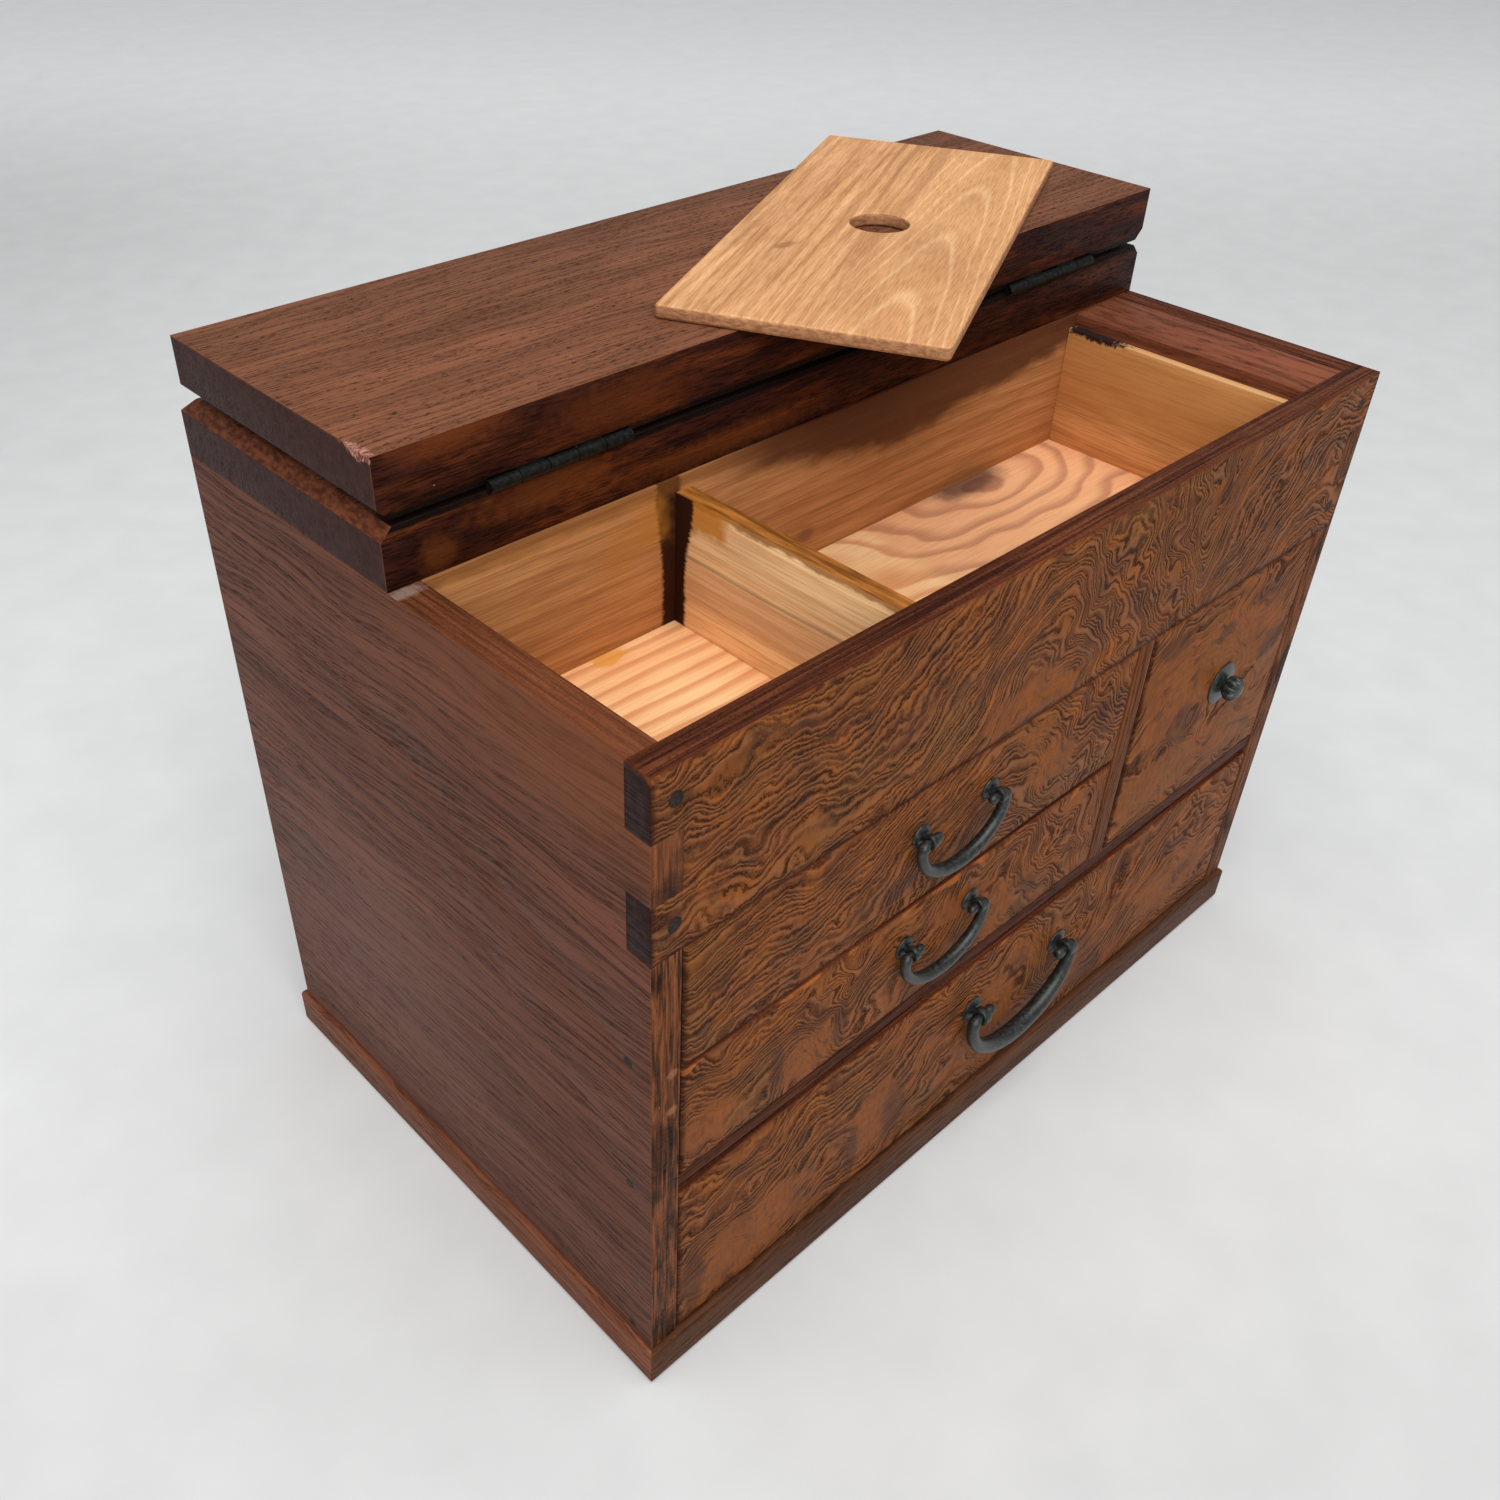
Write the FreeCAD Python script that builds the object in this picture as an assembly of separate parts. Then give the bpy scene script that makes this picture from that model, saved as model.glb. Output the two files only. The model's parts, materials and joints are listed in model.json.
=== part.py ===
import FreeCAD, Part
import math
import os

# A wooden sewing box with a folding top, two compartments and four drawers.
# Millimetres. X runs to the right, Y to the back and Z up.
# The origin lies on the ground under the middle of the case.
# The top is drawn folded back and the loose tray lid lies on it.

# Case
CASE_WIDTH = 280.0
CASE_DEPTH = 171.2
RIM_HEIGHT = 206.0
SIDE_THICKNESS = 8.5
BACK_THICKNESS = 6.0
BACK_REBATE = 4.5
HOUSING_DEPTH = 2.5

# Plinth
PLINTH_HEIGHT = 13.3
PLINTH_OVERHANG = 1.6
PLINTH_RAIL_WIDTH = 20.0
PLINTH_TOP_ROUNDING = 1.4
PLINTH_FOOT_CHAMFER = 0.8

# Boards that lie between the sides
BOTTOM_THICKNESS = 6.7
LOWER_SHELF_THICKNESS = 7.0
UPPER_SHELF_THICKNESS = 5.5
TOP_DRAWER_OPENING = 32.5
MIDDLE_DRAWER_OPENING = 38.0
PARTITION_LEFT = 36.3
PARTITION_THICKNESS = 6.7

# Fascia with its finger joints and pegs
FASCIA_THICKNESS = 7.6
FASCIA_HEIGHT = 49.0
FINGER_COUNT = 3
PEG_RADIUS = 1.9
PEG_LENGTH = 20.0
PEG_INSET = 6.4
NAIL_RADIUS = 1.3
NAIL_LENGTH = 18.0
NAIL_SETBACK = 7.8

# Compartments
COMPARTMENT_DEPTH = 41.0
FLOOR_THICKNESS = 6.0
WALL_THICKNESS = 5.5
WALL_STEP = 0.9
DIVIDER_CENTRE = -54.9
DIVIDER_THICKNESS = 5.4
LEDGE_DROP = 3.7
LINER_THICKNESS = 3.0
FILLER_WIDTH = 21.5
FILLER_THICKNESS = 8.0

# Fixed rear board and folding board
TOP_THICKNESS = 15.0
TOP_CHAMFER = 3.0
FIXED_BOARD_DEPTH = 86.7
FOLD_GAP = 1.5
CLOSED_GAP = 0.8
SEAT_CLEARANCE = 0.1

# Butt hinges
HINGE_OFFSET = 92.0
HINGE_LENGTH = 40.7
KNUCKLE_COUNT = 5
KNUCKLE_RADIUS = 1.55
KNUCKLE_GAP = 0.25
BARREL_CLEARANCE = 0.3
PIN_RADIUS = 0.75
PIN_CLEARANCE = 0.05
LEAF_REACH = 13.0
LEAF_THICKNESS = 1.2
SCREW_HEAD_RADIUS = 1.9
SCREW_SHANK_RADIUS = 1.0
SCREW_LENGTH = 9.0
SCREW_SPACING = 24.0
SCREW_REACH = 8.0

# Loose tray lid
TRAY_LID_LENGTH = 162.5
TRAY_LID_WIDTH = 73.0
TRAY_LID_THICKNESS = 3.6
TRAY_LID_CORNER = 1.6
TRAY_LID_ARRIS = 0.6
TRAY_LID_X = 41.3
TRAY_LID_Y = 23.1
TRAY_LID_TURN = 27.7
FINGER_HOLE_RADIUS = 8.2
FINGER_HOLE_CHAMFER = 0.5

# Drawers
FRONT_THICKNESS = 9.0
FRONT_ARRIS = 0.7
LIP_THICKNESS = 3.5
LIP_CLEARANCE = 0.3
FRONT_TONGUE = 5.5
FRONT_LAP = 4.5
FRONT_TOP_GAP = 0.4
MIDDLE_TOP_GAP = 1.6
MIDDLE_HEAD_GAP = 1.2
FRONT_FOOT_GAP = 0.6
NOSING_FOOT = 1.4
NOSING_HEIGHT = 4.4
NOSING_RECESS = 0.4
NOSING_GAP = 0.3
BOTTOM_TOP_GAP = 1.4
DRAWER_LIFT = 0.3
DRAWER_SIDE = 5.5
DRAWER_BACK = 5.0
DRAWER_BACK_DROP = 3.0
DRAWER_BOTTOM = 4.0
DRAWER_REAR_CLEARANCE = 3.0
UPPER_DRAWER_GAP = 0.8
BOTTOM_DRAWER_GAP = 0.3
DRAWER_STOP_GAP = 0.3
PARTITION_GAP = 1.5

# Iron pulls
SMALL_PULL_STANDOFF = 3.3
LARGE_PULL_STANDOFF = 4.0
SMALL_PULL_OFFSET = 7.4
LARGE_PULL_OFFSET = 6.8
PULL_HOLE_CLEARANCE = 0.1
PULL_SIDE_GAP = 0.3
SMALL_BAIL_REACH = 16.3
SMALL_BAIL_DROP = 14.3
SMALL_BAR_RADIUS = 2.0
SMALL_LEG_RADIUS = 1.5
SMALL_PIN_RADIUS = 1.0
SMALL_BEAD_RADIUS = 1.5
SMALL_EYE_RADIUS = 2.0
SMALL_EYE_THICKNESS = 1.6
SMALL_ROSETTE_RADIUS = 3.3
LARGE_BAIL_REACH = 24.6
LARGE_BAIL_DROP = 21.6
LARGE_BAR_RADIUS = 3.0
LARGE_LEG_RADIUS = 1.9
LARGE_PIN_RADIUS = 1.4
LARGE_BEAD_RADIUS = 2.0
LARGE_EYE_RADIUS = 2.7
LARGE_EYE_THICKNESS = 2.4
LARGE_ROSETTE_RADIUS = 4.3
ROSETTE_HEIGHT = 1.2
ROSETTE_EDGE = 0.5
DOME_DROP = 0.3
CROWN_RADIUS = 1.9
SHOULDER_SWELL = 0.3
BAR_FULLNESS = 1.4
BAR_STEPS = 7
ELBOW_STEPS = 3
SHANK_WIDTH = 1.6
CLINCH_LENGTH = 7.0
CLINCH_WIDTH = 2.2
CLINCH_THICKNESS = 1.1
TOP_PULL_DROP = 14.3
MIDDLE_PULL_DROP = 13.1
BOTTOM_PULL_DROP = 20.8

# Iron knob
KNOB_DROP = 37.8
KNOB_OFFSET = 5.7
KNOB_NECK_LENGTH = 2.1
KNOB_NECK_RADIUS = 1.8
KNOB_LENGTH = 4.5
KNOB_RADIUS = 3.5
KNOB_END_RADIUS = 2.4
KNOB_SHOULDER = 1.5
KNOB_RIBS = 8
KNOB_GROOVE_DEPTH = 0.7
KNOB_ROSETTE_RADIUS = 7.1
KNOB_ROSETTE_HEIGHT = 1.4

# Planes worked out from the sizes above
HALF_WIDTH = CASE_WIDTH / 2
INNER_X = HALF_WIDTH - SIDE_THICKNESS
HOUSED_X = INNER_X + HOUSING_DEPTH
FRONT = -CASE_DEPTH / 2
BACK = CASE_DEPTH / 2
BACK_PANEL_FACE = BACK - BACK_THICKNESS
FASCIA_BACK = FRONT + FASCIA_THICKNESS
FASCIA_BOTTOM = RIM_HEIGHT - FASCIA_HEIGHT
SHELF_FRONT = FRONT + LIP_THICKNESS + LIP_CLEARANCE
BOTTOM_TOP = PLINTH_HEIGHT + BOTTOM_THICKNESS
UPPER_SHELF_TOP = FASCIA_BOTTOM - TOP_DRAWER_OPENING
UPPER_SHELF_HEIGHT = UPPER_SHELF_TOP - UPPER_SHELF_THICKNESS
LOWER_SHELF_TOP = UPPER_SHELF_HEIGHT - MIDDLE_DRAWER_OPENING
LOWER_SHELF_HEIGHT = LOWER_SHELF_TOP - LOWER_SHELF_THICKNESS
NOSING_BOTTOM = LOWER_SHELF_HEIGHT + NOSING_FOOT
NOSING_TOP = NOSING_BOTTOM + NOSING_HEIGHT
PARTITION_RIGHT = PARTITION_LEFT + PARTITION_THICKNESS
FLOOR_TOP = RIM_HEIGHT - COMPARTMENT_DEPTH
FLOOR_BOTTOM = FLOOR_TOP - FLOOR_THICKNESS
TOP_FRONT = BACK - FIXED_BOARD_DEPTH
WALL_FACE = TOP_FRONT - WALL_STEP
LEDGE_HEIGHT = RIM_HEIGHT - LEDGE_DROP
FIXED_TOP = RIM_HEIGHT + TOP_THICKNESS
AXIS_Y = TOP_FRONT - CLOSED_GAP / 2
AXIS_Z = FIXED_TOP + FOLD_GAP / 2 + SEAT_CLEARANCE
LID_BOTTOM = AXIS_Z + FOLD_GAP / 2
LID_TOP = LID_BOTTOM + TOP_THICKNESS
LID_FAR_EDGE = 2 * AXIS_Y - FRONT
TRAY_LID_BOTTOM = LID_TOP + SEAT_CLEARANCE

# Small turned and forged pieces have many flat sides.
TURNED_SIDES = 16
BAR_SIDES = 10

V = FreeCAD.Vector
ALONG_X = V(1, 0, 0)
ALONG_Y = V(0, 1, 0)
ALONG_Z = V(0, 0, 1)


def block(left, right, front, back, bottom, top):
    corner = V(left, front, bottom)
    return Part.makeBox(right - left, back - front, top - bottom, corner)


def prism(points, travel):
    outline = Part.makePolygon(points + [points[0]])
    return Part.Face(outline).extrude(travel)


def ring(sides, radius, height, groove=0):
    # Corners round Z, with every second one drawn in by the groove.
    corners = []
    for index in range(sides):
        angle = 2 * math.pi * index / sides
        reach = radius - groove * (index % 2)
        corners.append(V(reach * math.cos(angle), reach * math.sin(angle), height))
    return corners


def many_sided(rings):
    # A solid through successive rings of corners, closed at both ends.
    faces = [Part.Face(Part.makePolygon(end + end[:1])) for end in (rings[0], rings[-1])]
    for near, far in zip(rings, rings[1:]):
        for index in range(len(near)):
            last = index - 1
            for triangle in ([near[last], near[index], far[index]],
                             [near[last], far[index], far[last]]):
                faces.append(Part.Face(Part.makePolygon(triangle + triangle[:1])))
    shell = Part.makeShell(faces)
    shell.sewShape()
    solid = Part.Solid(shell)
    if solid.Volume < 0:
        solid.reverse()
    return solid.removeSplitter()


def turned(profile):
    return many_sided([ring(TURNED_SIDES, radius, height) for radius, height in profile])


def wooden_pin(radius, length, start, along):
    pin = turned([(radius, 0), (radius, length)])
    pin.Placement = FreeCAD.Placement(start, FreeCAD.Rotation(ALONG_Z, along))
    return pin


def edges_where(shape, test):
    return [edge for edge in shape.Edges if test(edge.BoundBox)]


def flat_at(low, high, value):
    return abs(low - value) < 1e-6 and abs(high - value) < 1e-6


def cut_all(shape, tools):
    return shape.cut(tools) if tools else shape


def save(name, *solids):
    shape = solids[0] if len(solids) == 1 else Part.makeCompound(list(solids))
    shape.exportStep("parts/" + name + ".step")


# Plinth: four mitred rails

def plinth_rail(half_length, half_other, side):
    # A rail along X in front (side -1) or behind (side 1) of the middle.
    outer = side * half_other
    inner = side * (half_other - PLINTH_RAIL_WIDTH)
    inner_half = half_length - PLINTH_RAIL_WIDTH
    points = [V(-half_length, outer, 0), V(half_length, outer, 0),
              V(inner_half, inner, 0), V(-inner_half, inner, 0)]
    rail = prism(points, ALONG_Z * PLINTH_HEIGHT)

    def outer_edge_at(height):
        return edges_where(rail, lambda box: flat_at(box.YMin, box.YMax, outer)
                           and flat_at(box.ZMin, box.ZMax, height))

    rail = rail.makeFillet(PLINTH_TOP_ROUNDING, outer_edge_at(PLINTH_HEIGHT))
    return rail.makeChamfer(PLINTH_FOOT_CHAMFER, outer_edge_at(0))


def make_plinth():
    half_x = HALF_WIDTH + PLINTH_OVERHANG
    half_y = CASE_DEPTH / 2 + PLINTH_OVERHANG
    save("plinth_front_rail", plinth_rail(half_x, half_y, -1))
    save("plinth_back_rail", plinth_rail(half_x, half_y, 1))
    for name, side in (("plinth_left_rail", 1), ("plinth_right_rail", -1)):
        rail = plinth_rail(half_y, half_x, side)
        rail.rotate(V(0, 0, 0), ALONG_Z, 90)
        save(name, rail)


# Pegs and nails of the case

def fascia_pegs():
    pegs = []
    finger = FASCIA_HEIGHT / FINGER_COUNT
    for side in (-1, 1):
        for index in range(0, FINGER_COUNT, 2):
            start = V(side * (HALF_WIDTH - PEG_INSET), FRONT,
                      FASCIA_BOTTOM + finger * (index + 0.5))
            pegs.append(wooden_pin(PEG_RADIUS, PEG_LENGTH, start, ALONG_Y))
    return pegs


def side_nails():
    # One wooden nail a side into the front end of each full shelf and the bottom.
    nails = []
    heights = [PLINTH_HEIGHT + BOTTOM_THICKNESS / 2,
               LOWER_SHELF_HEIGHT + LOWER_SHELF_THICKNESS / 2]
    for side in (-1, 1):
        for height in heights:
            start = V(side * HALF_WIDTH, FRONT + NAIL_SETBACK, height)
            nails.append(wooden_pin(NAIL_RADIUS, NAIL_LENGTH, start, ALONG_X * -side))
    upper = V(-HALF_WIDTH, FRONT + NAIL_SETBACK, UPPER_SHELF_HEIGHT + UPPER_SHELF_THICKNESS / 2)
    nails.append(wooden_pin(NAIL_RADIUS, NAIL_LENGTH, upper, ALONG_X))
    return nails


# Sides, fascia, back and shelves

def finger_blocks(first):
    # The end blocks of every second finger, counted from the lowest.
    finger = FASCIA_HEIGHT / FINGER_COUNT
    blocks = []
    for index in range(first, FINGER_COUNT, 2):
        bottom = FASCIA_BOTTOM + finger * index
        for near, far in ((-HALF_WIDTH, -INNER_X), (INNER_X, HALF_WIDTH)):
            blocks.append(block(near, far, FRONT, FASCIA_BACK, bottom, bottom + finger))
    return blocks


def shelf_boards():
    bottom = block(-HOUSED_X, HOUSED_X, SHELF_FRONT, BACK_PANEL_FACE, PLINTH_HEIGHT, BOTTOM_TOP)
    # The lower shelf has a nosing that shows between the drawer fronts.
    lower = block(-HOUSED_X, HOUSED_X, SHELF_FRONT, BACK_PANEL_FACE,
                  LOWER_SHELF_HEIGHT, LOWER_SHELF_TOP)
    nosing = block(-INNER_X, INNER_X, FRONT + NOSING_RECESS, SHELF_FRONT,
                   NOSING_BOTTOM, NOSING_TOP)
    lower = lower.fuse(nosing).removeSplitter()
    upper = block(-HOUSED_X, PARTITION_LEFT + HOUSING_DEPTH, SHELF_FRONT, BACK_PANEL_FACE,
                  UPPER_SHELF_HEIGHT, UPPER_SHELF_TOP)
    floor = block(-HOUSED_X, HOUSED_X, FASCIA_BACK, BACK_PANEL_FACE, FLOOR_BOTTOM, FLOOR_TOP)
    return bottom, lower, upper, floor


def back_panel():
    edge = INNER_X + BACK_REBATE
    return block(-edge, edge, BACK_PANEL_FACE, BACK, PLINTH_HEIGHT, RIM_HEIGHT)


def make_case():
    boards = shelf_boards()
    bottom, lower, upper, floor = boards
    pegs = fascia_pegs()
    nails = side_nails()
    panel = back_panel()
    for name, near, far in (("side_left", -HALF_WIDTH, -INNER_X),
                            ("side_right", INNER_X, HALF_WIDTH)):
        side = block(near, far, FRONT, BACK, PLINTH_HEIGHT, RIM_HEIGHT)
        save(name, cut_all(side, finger_blocks(0) + list(boards) + pegs + nails + [panel]))
    fascia = block(-HALF_WIDTH, HALF_WIDTH, FRONT, FASCIA_BACK, FASCIA_BOTTOM, RIM_HEIGHT)
    save("front_fascia", cut_all(fascia, finger_blocks(1) + pegs))
    save("fascia_pegs", *pegs)
    save("side_nails", *nails)
    save("back_panel", panel)
    save("bottom_board", cut_all(bottom, nails))
    save("lower_shelf", cut_all(lower, nails))
    save("upper_shelf", cut_all(upper, nails))
    save("compartment_floor", cut_all(floor, pegs))
    # The partition is notched over the lower shelf's edge and under the fascia.
    partition = block(PARTITION_LEFT, PARTITION_RIGHT, FRONT, BACK_PANEL_FACE,
                      NOSING_TOP, FLOOR_BOTTOM)
    fascia_notch = block(PARTITION_LEFT, PARTITION_RIGHT, FRONT, FASCIA_BACK,
                         FASCIA_BOTTOM, FLOOR_BOTTOM)
    lower_bed = block(PARTITION_LEFT, PARTITION_RIGHT, SHELF_FRONT, BACK_PANEL_FACE,
                      LOWER_SHELF_HEIGHT, LOWER_SHELF_TOP)
    save("drawer_partition", partition.cut([fascia_notch, lower_bed, upper]))


# Compartments behind the fascia

def make_compartments():
    save("compartment_back_wall", block(-INNER_X, INNER_X, WALL_FACE, WALL_FACE + WALL_THICKNESS,
                                        FLOOR_TOP, RIM_HEIGHT))
    half = DIVIDER_THICKNESS / 2
    save("compartment_divider", block(DIVIDER_CENTRE - half, DIVIDER_CENTRE + half,
                                      FASCIA_BACK, WALL_FACE, FLOOR_TOP, LEDGE_HEIGHT))
    filler_left = INNER_X - FILLER_WIDTH
    save("right_liner", block(filler_left - LINER_THICKNESS, filler_left,
                              FASCIA_BACK, WALL_FACE, FLOOR_TOP, LEDGE_HEIGHT))
    save("right_filler_board", block(filler_left, INNER_X, FASCIA_BACK, WALL_FACE,
                                     RIM_HEIGHT - FILLER_THICKNESS, RIM_HEIGHT))


# Butt hinges

def hinge_centres():
    return -HINGE_OFFSET, HINGE_OFFSET


def knuckle_spans(centre, first):
    # The lengths of every second knuckle, each a little short at its inner ends.
    pitch = HINGE_LENGTH / KNUCKLE_COUNT
    start = centre - HINGE_LENGTH / 2
    spans = []
    for index in range(first, KNUCKLE_COUNT, 2):
        trim_low = KNUCKLE_GAP / 2 if index > 0 else 0
        trim_high = KNUCKLE_GAP / 2 if index < KNUCKLE_COUNT - 1 else 0
        spans.append((start + pitch * index + trim_low, start + pitch * (index + 1) - trim_high))
    return spans


def axis_rod(radius, left, right):
    return Part.makeCylinder(radius, right - left, V(left, AXIS_Y, AXIS_Z), ALONG_X)


def screw(position, into):
    # A countersunk screw whose head lies flush at the position.
    sink = SCREW_HEAD_RADIUS - SCREW_SHANK_RADIUS
    body = turned([(SCREW_HEAD_RADIUS, 0), (SCREW_SHANK_RADIUS, sink),
                   (SCREW_SHANK_RADIUS, SCREW_LENGTH)])
    if into < 0:
        body.rotate(V(0, 0, 0), ALONG_X, 180)
    body.translate(position)
    return body


def leaf_screws(centre, face_height, into):
    offsets = (-SCREW_SPACING / 2, SCREW_SPACING / 2)
    return [screw(V(centre + offset, AXIS_Y + SCREW_REACH, face_height), into)
            for offset in offsets]


def leaf(centre, first, face_height, into):
    # A leaf let flush into the board, with knuckles round the pin.
    left = centre - HINGE_LENGTH / 2
    right = centre + HINGE_LENGTH / 2
    low = min(face_height, face_height + into * LEAF_THICKNESS)
    high = low + LEAF_THICKNESS
    clear = AXIS_Y + KNUCKLE_RADIUS + BARREL_CLEARANCE
    plate = block(left, right, clear, AXIS_Y + LEAF_REACH, low, high)
    pieces = []
    for start, end in knuckle_spans(centre, first):
        pieces.append(block(start, end, TOP_FRONT, clear, low, high))
        pieces.append(axis_rod(KNUCKLE_RADIUS, start, end))
    screws = leaf_screws(centre, face_height, into)
    bore = axis_rod(PIN_RADIUS + PIN_CLEARANCE, left, right)
    return plate.fuse(pieces).removeSplitter().cut([bore] + screws), screws


def mortise(centre, face_height, into):
    # The recess for a leaf and the room for the whole barrel.
    left = centre - HINGE_LENGTH / 2
    right = centre + HINGE_LENGTH / 2
    low = min(face_height, face_height + into * LEAF_THICKNESS)
    recess = block(left, right, TOP_FRONT, AXIS_Y + LEAF_REACH, low, low + LEAF_THICKNESS)
    return recess, axis_rod(KNUCKLE_RADIUS + BARREL_CLEARANCE, left, right)


# Fixed board, folding board and hinges

def chamfered_board(far_edge, bottom, top, chamfer_height):
    board = block(-HALF_WIDTH, HALF_WIDTH, TOP_FRONT, far_edge, bottom, top)

    def outer(box):
        at_height = flat_at(box.ZMin, box.ZMax, chamfer_height)
        return at_height and not flat_at(box.YMin, box.YMax, TOP_FRONT)

    return board.makeChamfer(TOP_CHAMFER, edges_where(board, outer))


def make_top():
    fixed = chamfered_board(BACK, RIM_HEIGHT, FIXED_TOP, FIXED_TOP)
    folding = chamfered_board(LID_FAR_EDGE, LID_BOTTOM, LID_TOP, LID_BOTTOM)
    sets = {"fixed": [], "lid": []}
    screws = {"fixed": [], "lid": []}
    holes = {"fixed": [], "lid": []}
    pins = []
    for centre in hinge_centres():
        for board, first, face, into in (("fixed", 0, FIXED_TOP, -1), ("lid", 1, LID_BOTTOM, 1)):
            plate, fixings = leaf(centre, first, face, into)
            sets[board].append(plate)
            screws[board] += fixings
            holes[board] += fixings + list(mortise(centre, face, into))
        half = HINGE_LENGTH / 2
        pins.append(axis_rod(PIN_RADIUS, centre - half, centre + half))
    save("fixed_top_board", cut_all(fixed, holes["fixed"]))
    save("folding_lid", cut_all(folding, holes["lid"]))
    save("hinge_fixed_leaves", *sets["fixed"])
    save("hinge_lid_leaves", *sets["lid"])
    save("hinge_fixed_screws", *screws["fixed"])
    save("hinge_lid_screws", *screws["lid"])
    save("hinge_pins", *pins)


# Loose tray lid with its finger hole

def make_tray_lid():
    length = TRAY_LID_LENGTH / 2
    width = TRAY_LID_WIDTH / 2
    lid = block(-length, length, -width, width, 0, TRAY_LID_THICKNESS)
    upright = edges_where(lid, lambda box: box.ZLength > TRAY_LID_THICKNESS / 2)
    lid = lid.makeFillet(TRAY_LID_CORNER, upright)
    rims = edges_where(lid, lambda box: box.ZLength < TRAY_LID_THICKNESS / 2)
    lid = lid.makeChamfer(TRAY_LID_ARRIS, rims)
    lid = lid.cut(Part.makeCylinder(FINGER_HOLE_RADIUS, TRAY_LID_THICKNESS))
    hole_rims = edges_where(lid, lambda box: box.ZLength < TRAY_LID_THICKNESS / 2
                            and abs(box.XMax - FINGER_HOLE_RADIUS) < 1e-6)
    lid = lid.makeChamfer(FINGER_HOLE_CHAMFER, hole_rims)
    lid.rotate(V(0, 0, 0), ALONG_Z, TRAY_LID_TURN)
    lid.translate(V(TRAY_LID_X, TRAY_LID_Y, TRAY_LID_BOTTOM))
    save("tray_lid", lid)


# Drawers

def make_drawer(name, left, right, foot, top, runner_top, shanks):
    floor = runner_top + DRAWER_LIFT
    floor_top = floor + DRAWER_BOTTOM
    inner_face = FRONT + FRONT_THICKNESS
    rear = BACK_PANEL_FACE - DRAWER_REAR_CLEARANCE
    front = block(left, right, FRONT, inner_face, foot, top)
    outer = edges_where(front, lambda box: flat_at(box.YMin, box.YMax, FRONT))
    front = front.makeChamfer(FRONT_ARRIS, outer)
    notches = [block(left, right, FRONT + LIP_THICKNESS, inner_face, foot, floor),
               block(left, right, FRONT + FRONT_TONGUE, inner_face, floor, floor_top),
               block(left, left + DRAWER_SIDE, FRONT + FRONT_LAP, inner_face, floor_top, top),
               block(right - DRAWER_SIDE, right, FRONT + FRONT_LAP, inner_face, floor_top, top)]
    save(name + "_front", front.cut(notches + shanks))
    save(name + "_left_side", block(left, left + DRAWER_SIDE, FRONT + FRONT_LAP, rear,
                                    floor_top, top))
    save(name + "_right_side", block(right - DRAWER_SIDE, right, FRONT + FRONT_LAP, rear,
                                     floor_top, top))
    save(name + "_back", block(left + DRAWER_SIDE, right - DRAWER_SIDE, rear - DRAWER_BACK, rear,
                               floor_top, top - DRAWER_BACK_DROP))
    save(name + "_bottom", block(left, right, FRONT + FRONT_TONGUE, rear, floor, floor_top))


# Square shanks, clinched behind a drawer front

def shank_bar(x, z, standoff):
    # A square bar from in front of the drawer front to its inner face.
    half = SHANK_WIDTH / 2
    return block(x - half, x + half, FRONT - standoff, FRONT + FRONT_THICKNESS, z - half, z + half)


def clinched_tails(x, z):
    # Two flat pointed legs, spread along the inner face of the front.
    inner = FRONT + FRONT_THICKNESS
    half = CLINCH_WIDTH / 2
    tails = []
    for side in (-1, 1):
        points = [V(x, inner, z - half), V(x + side * (CLINCH_LENGTH - half), inner, z - half),
                  V(x + side * CLINCH_LENGTH, inner, z),
                  V(x + side * (CLINCH_LENGTH - half), inner, z + half), V(x, inner, z + half)]
        tails.append(prism(points, ALONG_Y * CLINCH_THICKNESS))
    return tails


def domed_rosette(x, z, radius, height):
    # A low dome on the front with a thin edge and a flat crown.
    dome = turned([(radius, 0), (radius, ROSETTE_EDGE),
                   ((radius + CROWN_RADIUS) / 2, height - DOME_DROP), (CROWN_RADIUS, height)])
    dome.rotate(V(0, 0, 0), ALONG_X, 90)
    dome.translate(V(x, FRONT, z))
    return dome


# Bracken bails: a tapered bar bent to a half ellipse, turned in at both ends
# and run through the eyes of two posts

class Pull:
    def __init__(self, standoff, reach, drop, bar, leg, pin, bead, eye, eye_thickness, rosette):
        self.standoff = standoff
        self.reach = reach
        self.drop = drop
        self.bar = bar
        self.leg = leg
        self.pin = pin
        self.bead = bead
        self.eye = eye
        self.eye_thickness = eye_thickness
        self.rosette = rosette
        self.elbow = leg + SHOULDER_SWELL
        self.eye_outer = reach - self.elbow - PULL_SIDE_GAP
        self.eye_centre = self.eye_outer - eye_thickness / 2
        self.eye_inner = self.eye_outer - eye_thickness


SMALL_PULL = Pull(SMALL_PULL_STANDOFF, SMALL_BAIL_REACH, SMALL_BAIL_DROP, SMALL_BAR_RADIUS,
                  SMALL_LEG_RADIUS, SMALL_PIN_RADIUS, SMALL_BEAD_RADIUS, SMALL_EYE_RADIUS,
                  SMALL_EYE_THICKNESS, SMALL_ROSETTE_RADIUS)
LARGE_PULL = Pull(LARGE_PULL_STANDOFF, LARGE_BAIL_REACH, LARGE_BAIL_DROP, LARGE_BAR_RADIUS,
                  LARGE_LEG_RADIUS, LARGE_PIN_RADIUS, LARGE_BEAD_RADIUS, LARGE_EYE_RADIUS,
                  LARGE_EYE_THICKNESS, LARGE_ROSETTE_RADIUS)


def bar_ring(x, z, along_x, along_z, radius):
    # The forged bar's corners, square to its direction in the XZ plane.
    turn = FreeCAD.Rotation(V(0, -1, 0), V(0, 0, 0), V(along_x, 0, along_z), "ZXY")
    return [turn.multVec(corner) + V(x, 0, z) for corner in ring(BAR_SIDES, radius, 0)]


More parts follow.
